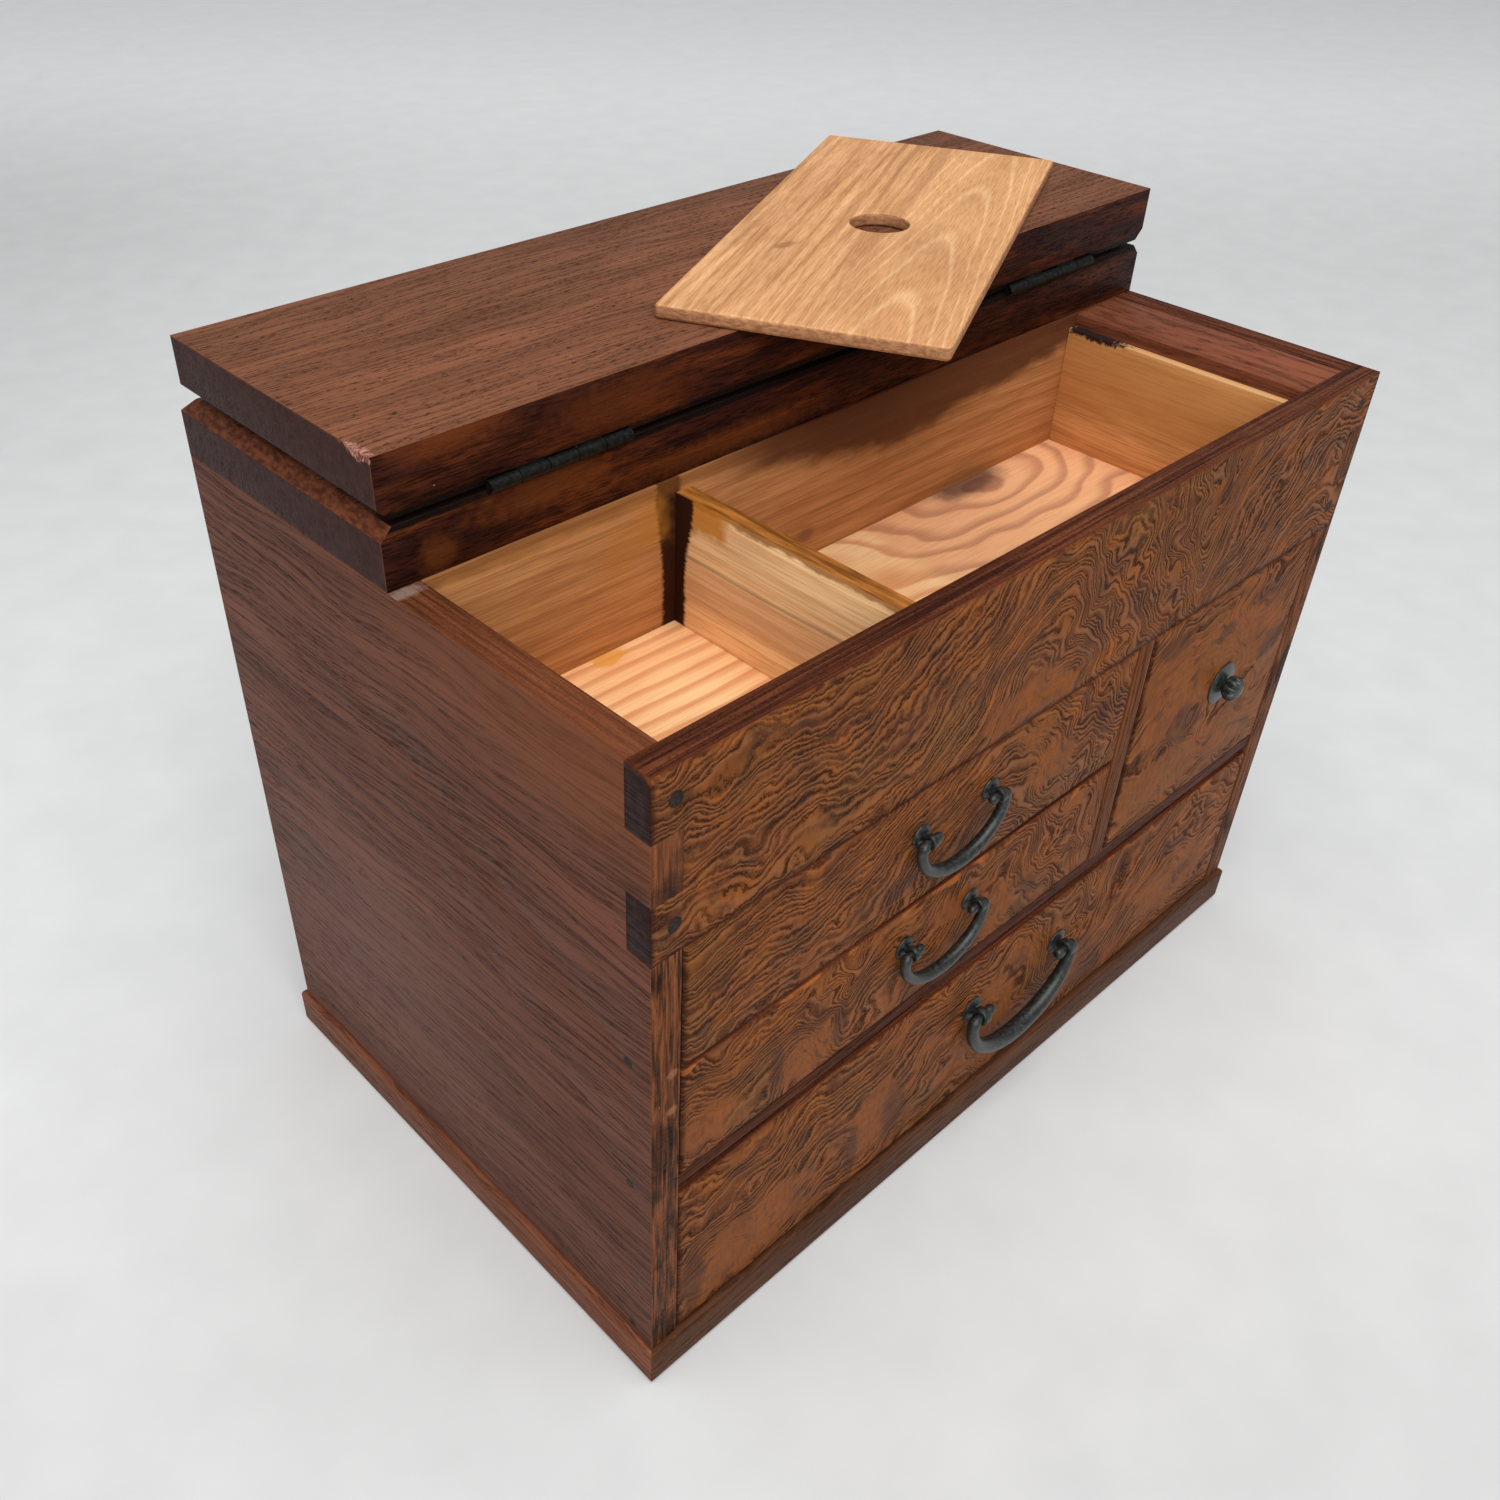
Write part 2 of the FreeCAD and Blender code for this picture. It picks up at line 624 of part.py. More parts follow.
def bail_rings(pull):
    # From the bead inside the right eye, round the elbow and down the bar, then
    # up to the left eye.
    face = pull.eye_inner - PULL_SIDE_GAP
    rings = [(face - 2 * pull.bead, 0, 1, 0, pull.pin), (face - pull.bead, 0, 1, 0, pull.bead),
             (face, 0, 1, 0, pull.pin)]
    for step in range(ELBOW_STEPS):
        angle = math.pi / 2 * step / ELBOW_STEPS
        x = pull.reach - pull.elbow + pull.elbow * math.sin(angle)
        z = -pull.elbow + pull.elbow * math.cos(angle)
        swell = SHOULDER_SWELL * math.sin(2 * angle)
        base = pull.pin + (pull.leg - pull.pin) * math.sin(angle)
        rings.append((x, z, math.cos(angle), -math.sin(angle), base + swell))
    height = pull.drop - pull.elbow
    for step in range(BAR_STEPS + 1):
        angle = math.pi / 2 * step / BAR_STEPS
        x = pull.reach * math.cos(angle)
        z = -pull.elbow - height * math.sin(angle)
        radius = pull.leg + (pull.bar - pull.leg) * math.sin(angle) ** BAR_FULLNESS
        rings.append((x, z, -pull.reach * math.sin(angle), -height * math.cos(angle), radius))
    mirrored = [(-x, z, along_x, -along_z, radius) for x, z, along_x, along_z, radius in rings]
    return rings + mirrored[-2::-1]


def bail(pull, x, z):
    bar = many_sided([bar_ring(*values) for values in bail_rings(pull)])
    bar.translate(V(x, FRONT - pull.standoff, z))
    return bar


def eye_post(pull, x, z):
    centre = V(x - pull.eye_thickness / 2, FRONT - pull.standoff, z)
    eye = Part.makeCylinder(pull.eye, pull.eye_thickness, centre, ALONG_X)
    post = eye.fuse([shank_bar(x, z, pull.standoff)] + clinched_tails(x, z)).removeSplitter()
    hole = Part.makeCylinder(pull.pin + PULL_HOLE_CLEARANCE, pull.eye_thickness, centre, ALONG_X)
    return post.cut(hole)


def make_bail_pull(name, pull, x, z):
    shanks = []
    posts = []
    rosettes = []
    for side in (-1, 1):
        post_x = x + side * pull.eye_centre
        shanks.append(shank_bar(post_x, z, 0))
        posts.append(eye_post(pull, post_x, z))
        rosettes.append(domed_rosette(post_x, z, pull.rosette, ROSETTE_HEIGHT))
    save(name + "_bail", bail(pull, x, z))
    save(name + "_pull_posts", *posts)
    save(name + "_pull_rosettes", *[dome.cut(post) for dome, post in zip(rosettes, posts)])
    return shanks


# Ribbed knob on its own rosette

def make_knob(x, z):
    rings = []
    for radius, height in ((KNOB_END_RADIUS, 0), (KNOB_RADIUS, KNOB_SHOULDER),
                           (KNOB_RADIUS, KNOB_LENGTH - KNOB_SHOULDER),
                           (KNOB_END_RADIUS, KNOB_LENGTH)):
        rings.append(ring(2 * KNOB_RIBS, radius, height, KNOB_GROOVE_DEPTH))
    head = many_sided(rings)
    head.rotate(V(0, 0, 0), ALONG_X, 90)
    head.translate(V(x, FRONT - KNOB_NECK_LENGTH, z))
    neck = Part.makeCylinder(KNOB_NECK_RADIUS, KNOB_NECK_LENGTH, V(x, FRONT - KNOB_NECK_LENGTH, z),
                             ALONG_Y)
    shank = shank_bar(x, z, 0)
    knob = head.fuse([neck, shank] + clinched_tails(x, z)).removeSplitter()
    save("right_knob", knob)
    save("right_knob_rosette",
         domed_rosette(x, z, KNOB_ROSETTE_RADIUS, KNOB_ROSETTE_HEIGHT).cut(knob))
    return [shank]


def make_drawers():
    left_end = -INNER_X + UPPER_DRAWER_GAP
    left_stop = PARTITION_LEFT - DRAWER_STOP_GAP
    right_start = PARTITION_RIGHT + PARTITION_GAP
    right_end = INNER_X - DRAWER_STOP_GAP
    upper_top = FASCIA_BOTTOM - FRONT_TOP_GAP
    middle_top = UPPER_SHELF_HEIGHT - MIDDLE_TOP_GAP
    bottom_top = LOWER_SHELF_HEIGHT - BOTTOM_TOP_GAP
    top_foot = middle_top + MIDDLE_HEAD_GAP
    shelf_foot = NOSING_TOP + NOSING_GAP
    bottom_foot = PLINTH_HEIGHT + FRONT_FOOT_GAP
    left_pull = (left_end + left_stop) / 2 + SMALL_PULL_OFFSET
    shanks = make_bail_pull("top_left", SMALL_PULL, left_pull, upper_top - TOP_PULL_DROP)
    make_drawer("top_left_drawer", left_end, left_stop, top_foot, upper_top,
                UPPER_SHELF_TOP, shanks)
    shanks = make_bail_pull("middle_left", SMALL_PULL, left_pull,
                            middle_top - MIDDLE_PULL_DROP)
    make_drawer("middle_left_drawer", left_end, left_stop, shelf_foot, middle_top,
                LOWER_SHELF_TOP, shanks)
    shanks = make_knob((right_start + right_end) / 2 + KNOB_OFFSET, upper_top - KNOB_DROP)
    make_drawer("right_drawer", right_start, right_end, shelf_foot, upper_top,
                LOWER_SHELF_TOP, shanks)
    bottom_end = INNER_X - BOTTOM_DRAWER_GAP
    shanks = make_bail_pull("bottom", LARGE_PULL, LARGE_PULL_OFFSET,
                            bottom_top - BOTTOM_PULL_DROP)
    make_drawer("bottom_drawer", -bottom_end, bottom_end, bottom_foot, bottom_top,
                BOTTOM_TOP, shanks)


os.makedirs("parts", exist_ok=True)
make_plinth()
make_case()
make_compartments()
make_top()
make_tray_lid()
make_drawers()
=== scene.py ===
import json
import math

import bpy
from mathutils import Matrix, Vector

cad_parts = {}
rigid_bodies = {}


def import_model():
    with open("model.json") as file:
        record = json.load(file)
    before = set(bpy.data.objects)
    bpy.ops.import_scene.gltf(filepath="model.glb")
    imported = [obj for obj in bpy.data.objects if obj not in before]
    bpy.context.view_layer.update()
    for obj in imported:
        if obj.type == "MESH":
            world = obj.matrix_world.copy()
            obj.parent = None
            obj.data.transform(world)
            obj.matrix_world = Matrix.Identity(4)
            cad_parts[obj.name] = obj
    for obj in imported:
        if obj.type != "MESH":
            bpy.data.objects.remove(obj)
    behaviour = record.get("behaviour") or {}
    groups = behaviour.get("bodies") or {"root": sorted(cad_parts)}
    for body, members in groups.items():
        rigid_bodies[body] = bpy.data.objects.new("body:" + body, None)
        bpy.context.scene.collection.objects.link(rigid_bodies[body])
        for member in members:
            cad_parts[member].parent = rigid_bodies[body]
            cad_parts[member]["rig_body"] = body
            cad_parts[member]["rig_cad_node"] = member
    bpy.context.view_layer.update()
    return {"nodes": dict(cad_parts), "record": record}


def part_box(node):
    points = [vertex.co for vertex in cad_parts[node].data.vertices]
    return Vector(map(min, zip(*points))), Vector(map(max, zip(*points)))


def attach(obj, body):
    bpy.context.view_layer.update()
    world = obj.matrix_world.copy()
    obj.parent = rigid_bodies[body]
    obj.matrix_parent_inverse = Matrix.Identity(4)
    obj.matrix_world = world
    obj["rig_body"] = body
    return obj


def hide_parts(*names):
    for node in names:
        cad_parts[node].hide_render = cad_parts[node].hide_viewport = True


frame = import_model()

# A wooden sewing box with a folding top, two compartments and four drawers.
# Sizes below are in millimetres, and MM turns them into the scene's metres.

MM = 0.001
nodes = frame["nodes"]
bodies = frame["record"]["behaviour"]["bodies"]
body_of = {node: body for body, members in bodies.items() for node in members}

BAIL_DRAWERS = ("top_left", "middle_left", "bottom")
LID_CENTRE = (41.3, 23.1, 237.7)
LID_TURN = math.radians(27.7)
FOLDING_JOINT, FIXED_JOINT = 221.9, 221.7
SHELF_EDGE_LINE = 123.7

# The knob's head: its flutes, and its rings as (radius, y) from the neck out.
KNOB_FLUTES = 9
FLUTE_SHRINK = 0.74
KNOB_NECK_RADIUS, KNOB_NECK_FACE = 2.2, -87.3
KNOB_RINGS = ((2.9, -87.5), (3.8, -88.2), (4.1, -89.3), (4.0, -90.6), (3.3, -91.7), (1.9, -92.3),
              (0.6, -92.45))


# Camera and light

CAMERA_PLACE = (-0.27322, -0.23594, 0.36784)
CAMERA_TURN = tuple(math.radians(angle) for angle in (51.7195, -1.1828, -43.2330))
LENS, SENSOR_WIDTH = 34.374, 36.0
LENS_SHIFT_X, LENS_SHIFT_Y = 0.03185, 0.01023


def place_camera():
    data = bpy.data.cameras.new("camera")
    camera = bpy.data.objects.new("camera", data)
    bpy.context.scene.collection.objects.link(camera)
    camera.location = CAMERA_PLACE
    camera.rotation_euler = CAMERA_TURN
    data.sensor_width = SENSOR_WIDTH
    data.lens = LENS
    data.shift_x = LENS_SHIFT_X
    data.shift_y = LENS_SHIFT_Y
    data.clip_start = 0.01
    bpy.context.scene.camera = camera


def soft_light(name, place, aim, size, power, tint):
    data = bpy.data.lights.new(name, "AREA")
    data.shape = "RECTANGLE"
    data.size, data.size_y = size
    data.energy = power
    data.color = tint
    lamp = bpy.data.objects.new(name, data)
    bpy.context.scene.collection.objects.link(lamp)
    lamp.location = place
    direction = Vector(aim) - Vector(place)
    lamp.rotation_euler = direction.to_track_quat("-Z", "Y").to_euler()


WINDOW_WATTS, CEILING_WATTS, SKY_STRENGTH = 26, 35, 0.36


def light_the_room():
    soft_light("window", (-1.2, -1.7, 1.7), (0, 0, 0.12), (2.2, 1.6), WINDOW_WATTS,
               (1.0, 0.995, 0.985))
    soft_light("ceiling", (-0.4, -0.5, 2.1), (-0.15, 0, 0), (2.2, 2.0), CEILING_WATTS,
               (1.0, 1.0, 1.0))
    world = bpy.data.worlds.new("room")
    world.use_nodes = True
    sky = world.node_tree.nodes["Background"]
    sky.inputs["Color"].default_value = (0.97, 0.985, 1.0, 1)
    sky.inputs["Strength"].default_value = SKY_STRENGTH
    bpy.context.scene.world = world
    bpy.context.scene.view_settings.view_transform = "Standard"


# Surfaces, built from shader nodes on coordinates in millimetres

DUST_GREY = (0.62, 0.5, 0.44)


class Surface:
    def __init__(self, name):
        self.material = bpy.data.materials.new(name)
        self.material.use_nodes = True
        self.tree = self.material.node_tree
        self.shader = self.tree.nodes["Principled BSDF"]
        coordinates = self.add("ShaderNodeTexCoord")
        self.place = self.scaled(coordinates.outputs["Object"], (1000, 1000, 1000))
        self.x, self.y, self.z = self.split(self.place)
        facing = self.split(coordinates.outputs["Normal"])
        self.facing_x, self.facing_y, self.facing_z = facing

    def add(self, kind, **settings):
        node = self.tree.nodes.new(kind)
        for key, value in settings.items():
            setattr(node, key, value)
        return node

    def feed(self, socket, value):
        if isinstance(value, bpy.types.NodeSocket):
            self.tree.links.new(value, socket)
        else:
            socket.default_value = value

    def split(self, vector):
        node = self.add("ShaderNodeSeparateXYZ")
        self.feed(node.inputs[0], vector)
        return node.outputs

    def join(self, x, y, z):
        node = self.add("ShaderNodeCombineXYZ")
        for socket, value in zip(node.inputs, (x, y, z)):
            self.feed(socket, value)
        return node.outputs[0]

    def scaled(self, vector, factors, shift=(0, 0, 0)):
        node = self.add("ShaderNodeMapping")
        self.feed(node.inputs["Vector"], vector)
        node.inputs["Scale"].default_value = factors
        node.inputs["Location"].default_value = shift
        return node.outputs[0]

    def math(self, operation, a, b=0.0, clamp=False):
        node = self.add("ShaderNodeMath", operation=operation, use_clamp=clamp)
        self.feed(node.inputs[0], a)
        self.feed(node.inputs[1], b)
        return node.outputs[0]

    def plus(self, *values):
        total = values[0]
        for value in values[1:]:
            total = self.math("ADD", total, value)
        return total

    def times(self, *values):
        total = values[0]
        for value in values[1:]:
            total = self.math("MULTIPLY", total, value)
        return total

    def inverse(self, value):
        return self.math("SUBTRACT", 1.0, value)

    def hills(self, value, hills):
        # Height and slope of a line of smooth hills, each (place, width, lift).
        height, slope = 0.0, 0.0
        for place, width, lift in hills:
            across = self.times(self.math("SUBTRACT", value, place), 1 / width)
            bell = self.times(self.math("EXPONENT", self.times(across, across, -1.0)), lift)
            height = self.plus(height, bell)
            slope = self.plus(slope, self.times(bell, across, -2 / width))
        return height, slope

    def noise(self, vector, size, detail=2.0, roughness=0.5, distortion=0.0):
        # Noise whose features are about size millimetres along each axis.
        sizes = size if isinstance(size, tuple) else (size, size, size)
        node = self.add("ShaderNodeTexNoise")
        self.feed(node.inputs["Vector"], self.scaled(vector, tuple(1 / s for s in sizes)))
        node.inputs["Scale"].default_value = 1.0
        node.inputs["Detail"].default_value = detail
        node.inputs["Roughness"].default_value = roughness
        node.inputs["Distortion"].default_value = distortion
        return node.outputs["Fac"]

    def swing(self, vector, size, reach, detail=2.0):
        # Noise as a distance that swings to both sides of zero.
        return self.times(self.math("SUBTRACT", self.noise(vector, size, detail), 0.5), reach)

    def smooth(self, value, low, high):
        node = self.add("ShaderNodeMapRange", interpolation_type="SMOOTHSTEP")
        self.feed(node.inputs["Value"], value)
        node.inputs["From Min"].default_value = low
        node.inputs["From Max"].default_value = high
        return node.outputs["Result"]

    def ramp(self, value, *stops):
        node = self.add("ShaderNodeValToRGB")
        self.feed(node.inputs[0], value)
        points = node.color_ramp.elements
        while len(points) < len(stops):
            points.new(0.5)
        for point, (position, colour) in zip(points, stops):
            point.position = position
            point.color = (*colour, 1)
        return node.outputs[0]

    def mix(self, factor, under, over, blend="MIX"):
        node = self.add("ShaderNodeMix", data_type="RGBA", blend_type=blend)
        self.feed(node.inputs[0], factor)
        for socket, colour in zip(node.inputs[6:8], (under, over)):
            self.feed(socket, (*colour, 1) if isinstance(colour, tuple) else colour)
        return node.outputs[2]

    def shade(self, factor, colour, strength):
        # Darkens a colour where the factor is high.
        return self.mix(self.times(factor, strength), colour, (0.0, 0.0, 0.0))

    def spot(self, centre, radii, soft, ragged):
        # A ragged patch round a point, 1 inside and 0 outside.
        shifted = self.scaled(self.place, tuple(1 / r for r in radii),
                              tuple(-c / r for c, r in zip(centre, radii)))
        node = self.add("ShaderNodeVectorMath", operation="LENGTH")
        self.feed(node.inputs[0], shifted)
        wobble = self.swing(self.place, min(radii) * 0.7, ragged * 4, 4.0)
        distance = self.plus(node.outputs["Value"], wobble)
        return self.inverse(self.smooth(distance, 1 - soft, 1 + soft))

    def near_edge(self, low, high, width):
        # 1 on the arrises of a box, fading over the width.
        depths = []
        for value, a, b in zip((self.x, self.y, self.z), low, high):
            from_middle = self.math("ABSOLUTE", self.math("SUBTRACT", value, (a + b) / 2))
            depths.append(self.math("SUBTRACT", (b - a) / 2, from_middle))
        dx, dy, dz = depths
        small = self.math("MINIMUM", dx, dy)
        large = self.math("MAXIMUM", dx, dy)
        middle = self.math("MAXIMUM", small, self.math("MINIMUM", large, dz))
        ragged = self.swing(self.place, (3, 3, 3), width * 1.5, 4.0)
        return self.inverse(self.smooth(self.plus(middle, ragged), 0.0, width))

    def dust(self, colour, amount):
        # Small pale specks on what faces up.
        node = self.add("ShaderNodeTexVoronoi")
        self.feed(node.inputs["Vector"], self.place)
        node.inputs["Scale"].default_value = 0.16
        node.inputs["Randomness"].default_value = 1.0
        speck = self.inverse(self.smooth(node.outputs["Distance"], 0.018, 0.04))
        some = self.smooth(self.noise(self.place, 14, 1.0), 0.56, 0.6)
        return self.mix(self.times(speck, some, amount), colour, DUST_GREY)

    def finish(self, colour, rough, bump=None, depth=0.12, metal=0.0, gloss=0.1):
        self.feed(self.shader.inputs["Base Color"], colour)
        self.feed(self.shader.inputs["Roughness"], rough)
        self.shader.inputs["Metallic"].default_value = metal
        self.shader.inputs["Specular IOR Level"].default_value = gloss
        if bump is not None:
            node = self.add("ShaderNodeBump")
            node.inputs["Strength"].default_value = 0.6
            node.inputs["Distance"].default_value = depth * MM
            self.feed(node.inputs["Height"], bump)
            self.feed(self.shader.inputs["Normal"], node.outputs[0])
        return self.material


# Dark stained timber

SIDE_BROWN = (0.136, 0.052, 0.032)
END_PURPLE = (0.047, 0.021, 0.018)
FRONT_RED = (0.085, 0.026, 0.012)
TOP_BROWN = (0.190, 0.074, 0.038)
STRIP_BROWN = (0.145, 0.046, 0.014)
FILLER_BROWN = (0.21, 0.065, 0.032)
SHELF_BROWN = (0.080, 0.022, 0.009)
BOTTOM_BROWN = (0.3, 0.15, 0.075)
PLINTH_FRONT_BROWN = (0.098, 0.038, 0.018)
PLINTH_SIDE_BROWN = (0.20, 0.070, 0.036)
RUBBED_RED = (0.23, 0.07, 0.024)
STAINED_GLOSS, BURR_GLOSS = 0.06, 0.05


def straight_grain(s, grain, shift, slope, length):
    # Streak and pore noise on a board whose grain runs along the named axis. On
    # an upright board the rows of streaks lie one above the other.
    order = {"X": (s.x, s.y, s.z), "Y": (s.y, s.z, s.x), "Z": (s.z, s.x, s.y),
             "X upright": (s.x, s.z, s.y)}[grain]
    along, across, other = order
    across = s.plus(across, s.times(along, slope))
    here = s.scaled(s.join(along, across, other), (1, 1, 1), shift)
    bent = s.join(along, s.plus(across, s.swing(here, (80, 30, 30), 14.0, 2.0)), other)
    bent = s.scaled(bent, (1, 1, 1), shift)
    streak = s.noise(bent, (length, 0.85, 3.0), 2.0, 0.55)
    pores = s.noise(bent, (length * 0.11, 0.42, 0.9), 2.0, 0.55)
    broad = s.noise(bent, (120, 13, 18), 3.0, 0.5)
    return streak, pores, broad


def board_box(node):
    low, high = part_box(node)
    return tuple(v / MM for v in low), tuple(v / MM for v in high)


def board_finish(node, grain, face, shift, slope=0.0, lines=0.55, dashes=0.5, length=42,
                 extra=None):
    low, high = board_box(node)
    s = Surface(node + "_finish")
    streak, pores, broad = straight_grain(s, grain, shift, slope, length)
    dark = tuple(c * 0.36 for c in face)
    light = tuple(min(c * f, 1) for c, f in zip(face, (1.45, 1.38, 1.34)))
    deep = tuple(c * 0.8 for c in face)
    colour = s.ramp(broad, (0.3, deep), (0.5, face), (0.8, light))
    line = s.smooth(streak, 0.49, 0.61)
    colour = s.mix(s.times(line, lines), colour, dark)
    crest = s.inverse(s.smooth(streak, 0.36, 0.46))
    colour = s.mix(s.times(crest, 0.3), colour, light)
    open_pores = s.times(s.smooth(pores, 0.53, 0.62), s.smooth(streak, 0.38, 0.56))
    colour = s.mix(s.times(open_pores, dashes), colour, tuple(c * 0.22 for c in face))
    facing = {"X": s.facing_x, "Y": s.facing_y, "Z": s.facing_z}[grain[0]]
    end_face = s.smooth(s.math("ABSOLUTE", facing), 0.8, 0.9)
    end_tone = s.ramp(s.noise(s.place, (2.2, 2.2, 2.2), 3.0),
                      (0.35, tuple(c * 0.85 for c in END_PURPLE)),
                      (0.65, tuple(c * 1.2 for c in END_PURPLE)))
    colour = s.mix(end_face, colour, end_tone)
    arris_band = s.near_edge(low, high, 0.7)
    colour = s.mix(s.times(arris_band, 0.35), colour, RUBBED_RED)
    if extra:
        colour = extra(s, colour)
    rough = s.plus(0.44, s.times(s.noise(s.place, 18, 2.0), 0.14), s.times(open_pores, 0.25))
    height = s.plus(s.times(line, -0.5), s.times(open_pores, -0.9))
    return s.finish(colour, rough, height, 0.16, gloss=STAINED_GLOSS)


def flame_front(s, colour, shift, length, joint):
    # The dark front edge of a top board, with red-brown flames along it and
    # painted shade in the gap where it meets the other board.
    front = s.smooth(s.times(s.facing_y, -1.0), 0.25, 0.6)
    flame = s.noise(s.scaled(s.place, (1, 1, 1), (shift, 0, 0)), (length, 12, 5), 3.0, 0.6)
    tone = s.ramp(flame, (0.36, (0.026, 0.007, 0.005)), (0.52, (0.048, 0.012, 0.006)),
                  (0.72, (0.13, 0.031, 0.008)))
    dashes = s.smooth(s.noise(s.place, (5, 3, 0.4), 2.0), 0.5, 0.58)
    tone = s.shade(dashes, tone, 0.6)
    colour = s.mix(front, colour, tone)
    # Painted shade: near-black along the joint with the other board, towards the front.
    depth = s.plus(s.math("ABSOLUTE", s.math("SUBTRACT", s.z, joint)), s.swing(s.place, 3, 0.8))
    joint_shade = s.times(s.inverse(s.smooth(depth, 1.7, 2.6)), s.inverse(s.smooth(s.y, 0, 12)))
    return front, s.mix(s.times(joint_shade, 0.96), colour, (0.004, 0.003, 0.003))


def lid_marks(s, colour):
    # Flames on the front edge, a bare broken arris at the near corner, and dust.
    front, colour = flame_front(s, colour, 0, 34, FOLDING_JOINT)
    for x, z, wide, tall, amount in ((-121, 236.5, 13, 4, 0.5), (-74, 230, 20, 6, 0.4)):
        glow = s.spot((x, -1.5, z), (wide, 3, tall), 0.7, 0.3)
        colour = s.mix(s.times(glow, front, amount), colour, (0.18, 0.043, 0.010))
    bare = s.spot((-139.9, 4.0, 237.5), (1.7, 5.0, 2.0), 0.12, 0.4)
    pale = s.ramp(s.noise(s.place, 0.9, 3.0), (0.38, (0.15, 0.048, 0.032)),
                  (0.62, (0.5, 0.24, 0.17)))
    colour = s.mix(bare, colour, pale)
    return s.dust(colour, s.math("MAXIMUM", s.times(s.facing_z, 0.7), front))


def fixed_board_marks(s, colour):
    front, colour = flame_front(s, colour, 61, 40, FIXED_JOINT)
    for x, z, wide, tall, amount in ((-126, 211, 5, 4, 0.4), (-96, 216, 18, 4, 0.4),
                                     (-40, 210, 30, 3, 0.35)):
        glow = s.spot((x, -1.5, z), (wide, 4, tall), 0.7, 0.4)
        colour = s.mix(s.times(glow, front, amount), colour, (0.23, 0.062, 0.011))
    rim = s.times(s.smooth(s.facing_z, 0.25, 0.5), s.inverse(s.smooth(s.facing_z, 0.85, 0.97)))
    rim_tone = s.ramp(s.noise(s.place, (2.5, 2.5, 1.0), 3.0), (0.36, (0.07, 0.020, 0.011)),
                      (0.62, (0.17, 0.052, 0.022)))
    colour = s.mix(rim, colour, rim_tone)
    return s.dust(colour, 0.7)


def red_rim(s, colour, grain_size):
    # The rubbed top edges of the case, red with dark pores and fine dust.
    rim = s.smooth(s.facing_z, 0.6, 0.8)
    tone = s.ramp(s.noise(s.place, grain_size, 2.0, 0.6), (0.38, (0.036, 0.010, 0.006)),
                  (0.5, (0.095, 0.026, 0.011)), (0.62, (0.165, 0.049, 0.020)))
    specks = s.smooth(s.noise(s.place, 0.9, 3.0, 0.6), 0.5, 0.6)
    return rim, s.mix(rim, colour, s.shade(specks, tone, 0.35))


def side_marks(s, colour):
    # The top edge rubbed red, the front edge figured, a soft pale patch low down that is a painted
    # sheen.
    rim, colour = red_rim(s, colour, (0.75, 30, 4))
    front = s.smooth(s.times(s.facing_y, -1.0), 0.6, 0.8)
    stave = s.noise(s.place, (0.75, 3, 13), 3.0, 0.6, 0.5)
    shade = s.noise(s.place, (8, 3, 17), 3.0)
    tone = s.ramp(stave, (0.38, (0.038, 0.015, 0.008)), (0.5, (0.135, 0.043, 0.016)),
                  (0.64, (0.24, 0.078, 0.026)))
    tone = s.shade(s.smooth(shade, 0.5, 0.62), tone, 0.6)
    for z in (119.5, 107):
        mark = s.spot((-133.8, -85.6, z), (1.5, 2, 1.3), 0.4, 0.2)
        tone = s.mix(s.times(mark, 0.7), tone, (0.33, 0.14, 0.06))
    colour = s.mix(front, colour, tone)
    warm = s.spot((-140, -70, 196), (20, 60, 16), 0.8, 0.2)
    colour = s.mix(s.times(warm, 0.45), colour, (0.24, 0.078, 0.030))
    # Painted sheen: a pale greyish patch low on the back half of the side, where the floor is
    # reflected.
    sheen_patch = s.spot((-140, 30, 75), (20, 52, 46), 0.9, 0.1)
    colour = s.mix(s.times(sheen_patch, 0.32), colour, (0.21, 0.12, 0.10))
    corner_dust = s.spot((-137, -3.0, 206), (4.5, 2.0, 3), 0.5, 0.4)
    colour = s.mix(s.times(corner_dust, rim, 0.4), colour, (0.42, 0.31, 0.26))
    return s.dust(colour, 0.6)


# Burr figure of the front board and the drawer fronts

BURR_BROWN, BURR_RED = (0.105, 0.034, 0.013), (0.197, 0.060, 0.016)
BURR_ORANGE, BURR_OLIVE = (0.29, 0.083, 0.014), (0.155, 0.068, 0.019)
POOL_ORANGE, FIBRE_BROWN = (0.28, 0.086, 0.019), (0.10, 0.032, 0.012)
CREST_TAN, PORE_BLACK = (0.30, 0.118, 0.042), (0.026, 0.010, 0.005)
SMEAR_BROWN, SPOT_BROWN = (0.050, 0.021, 0.013), (0.075, 0.030, 0.018)
# The black of the arrises is painted shade in the gaps round the fronts.
ARRIS_SHADE_BLACK, ARRIS_RED = (0.030, 0.008, 0.004), (0.10, 0.026, 0.010)
CHIP_ORANGE, PORE_SIZE = (0.42, 0.125, 0.028), 0.62


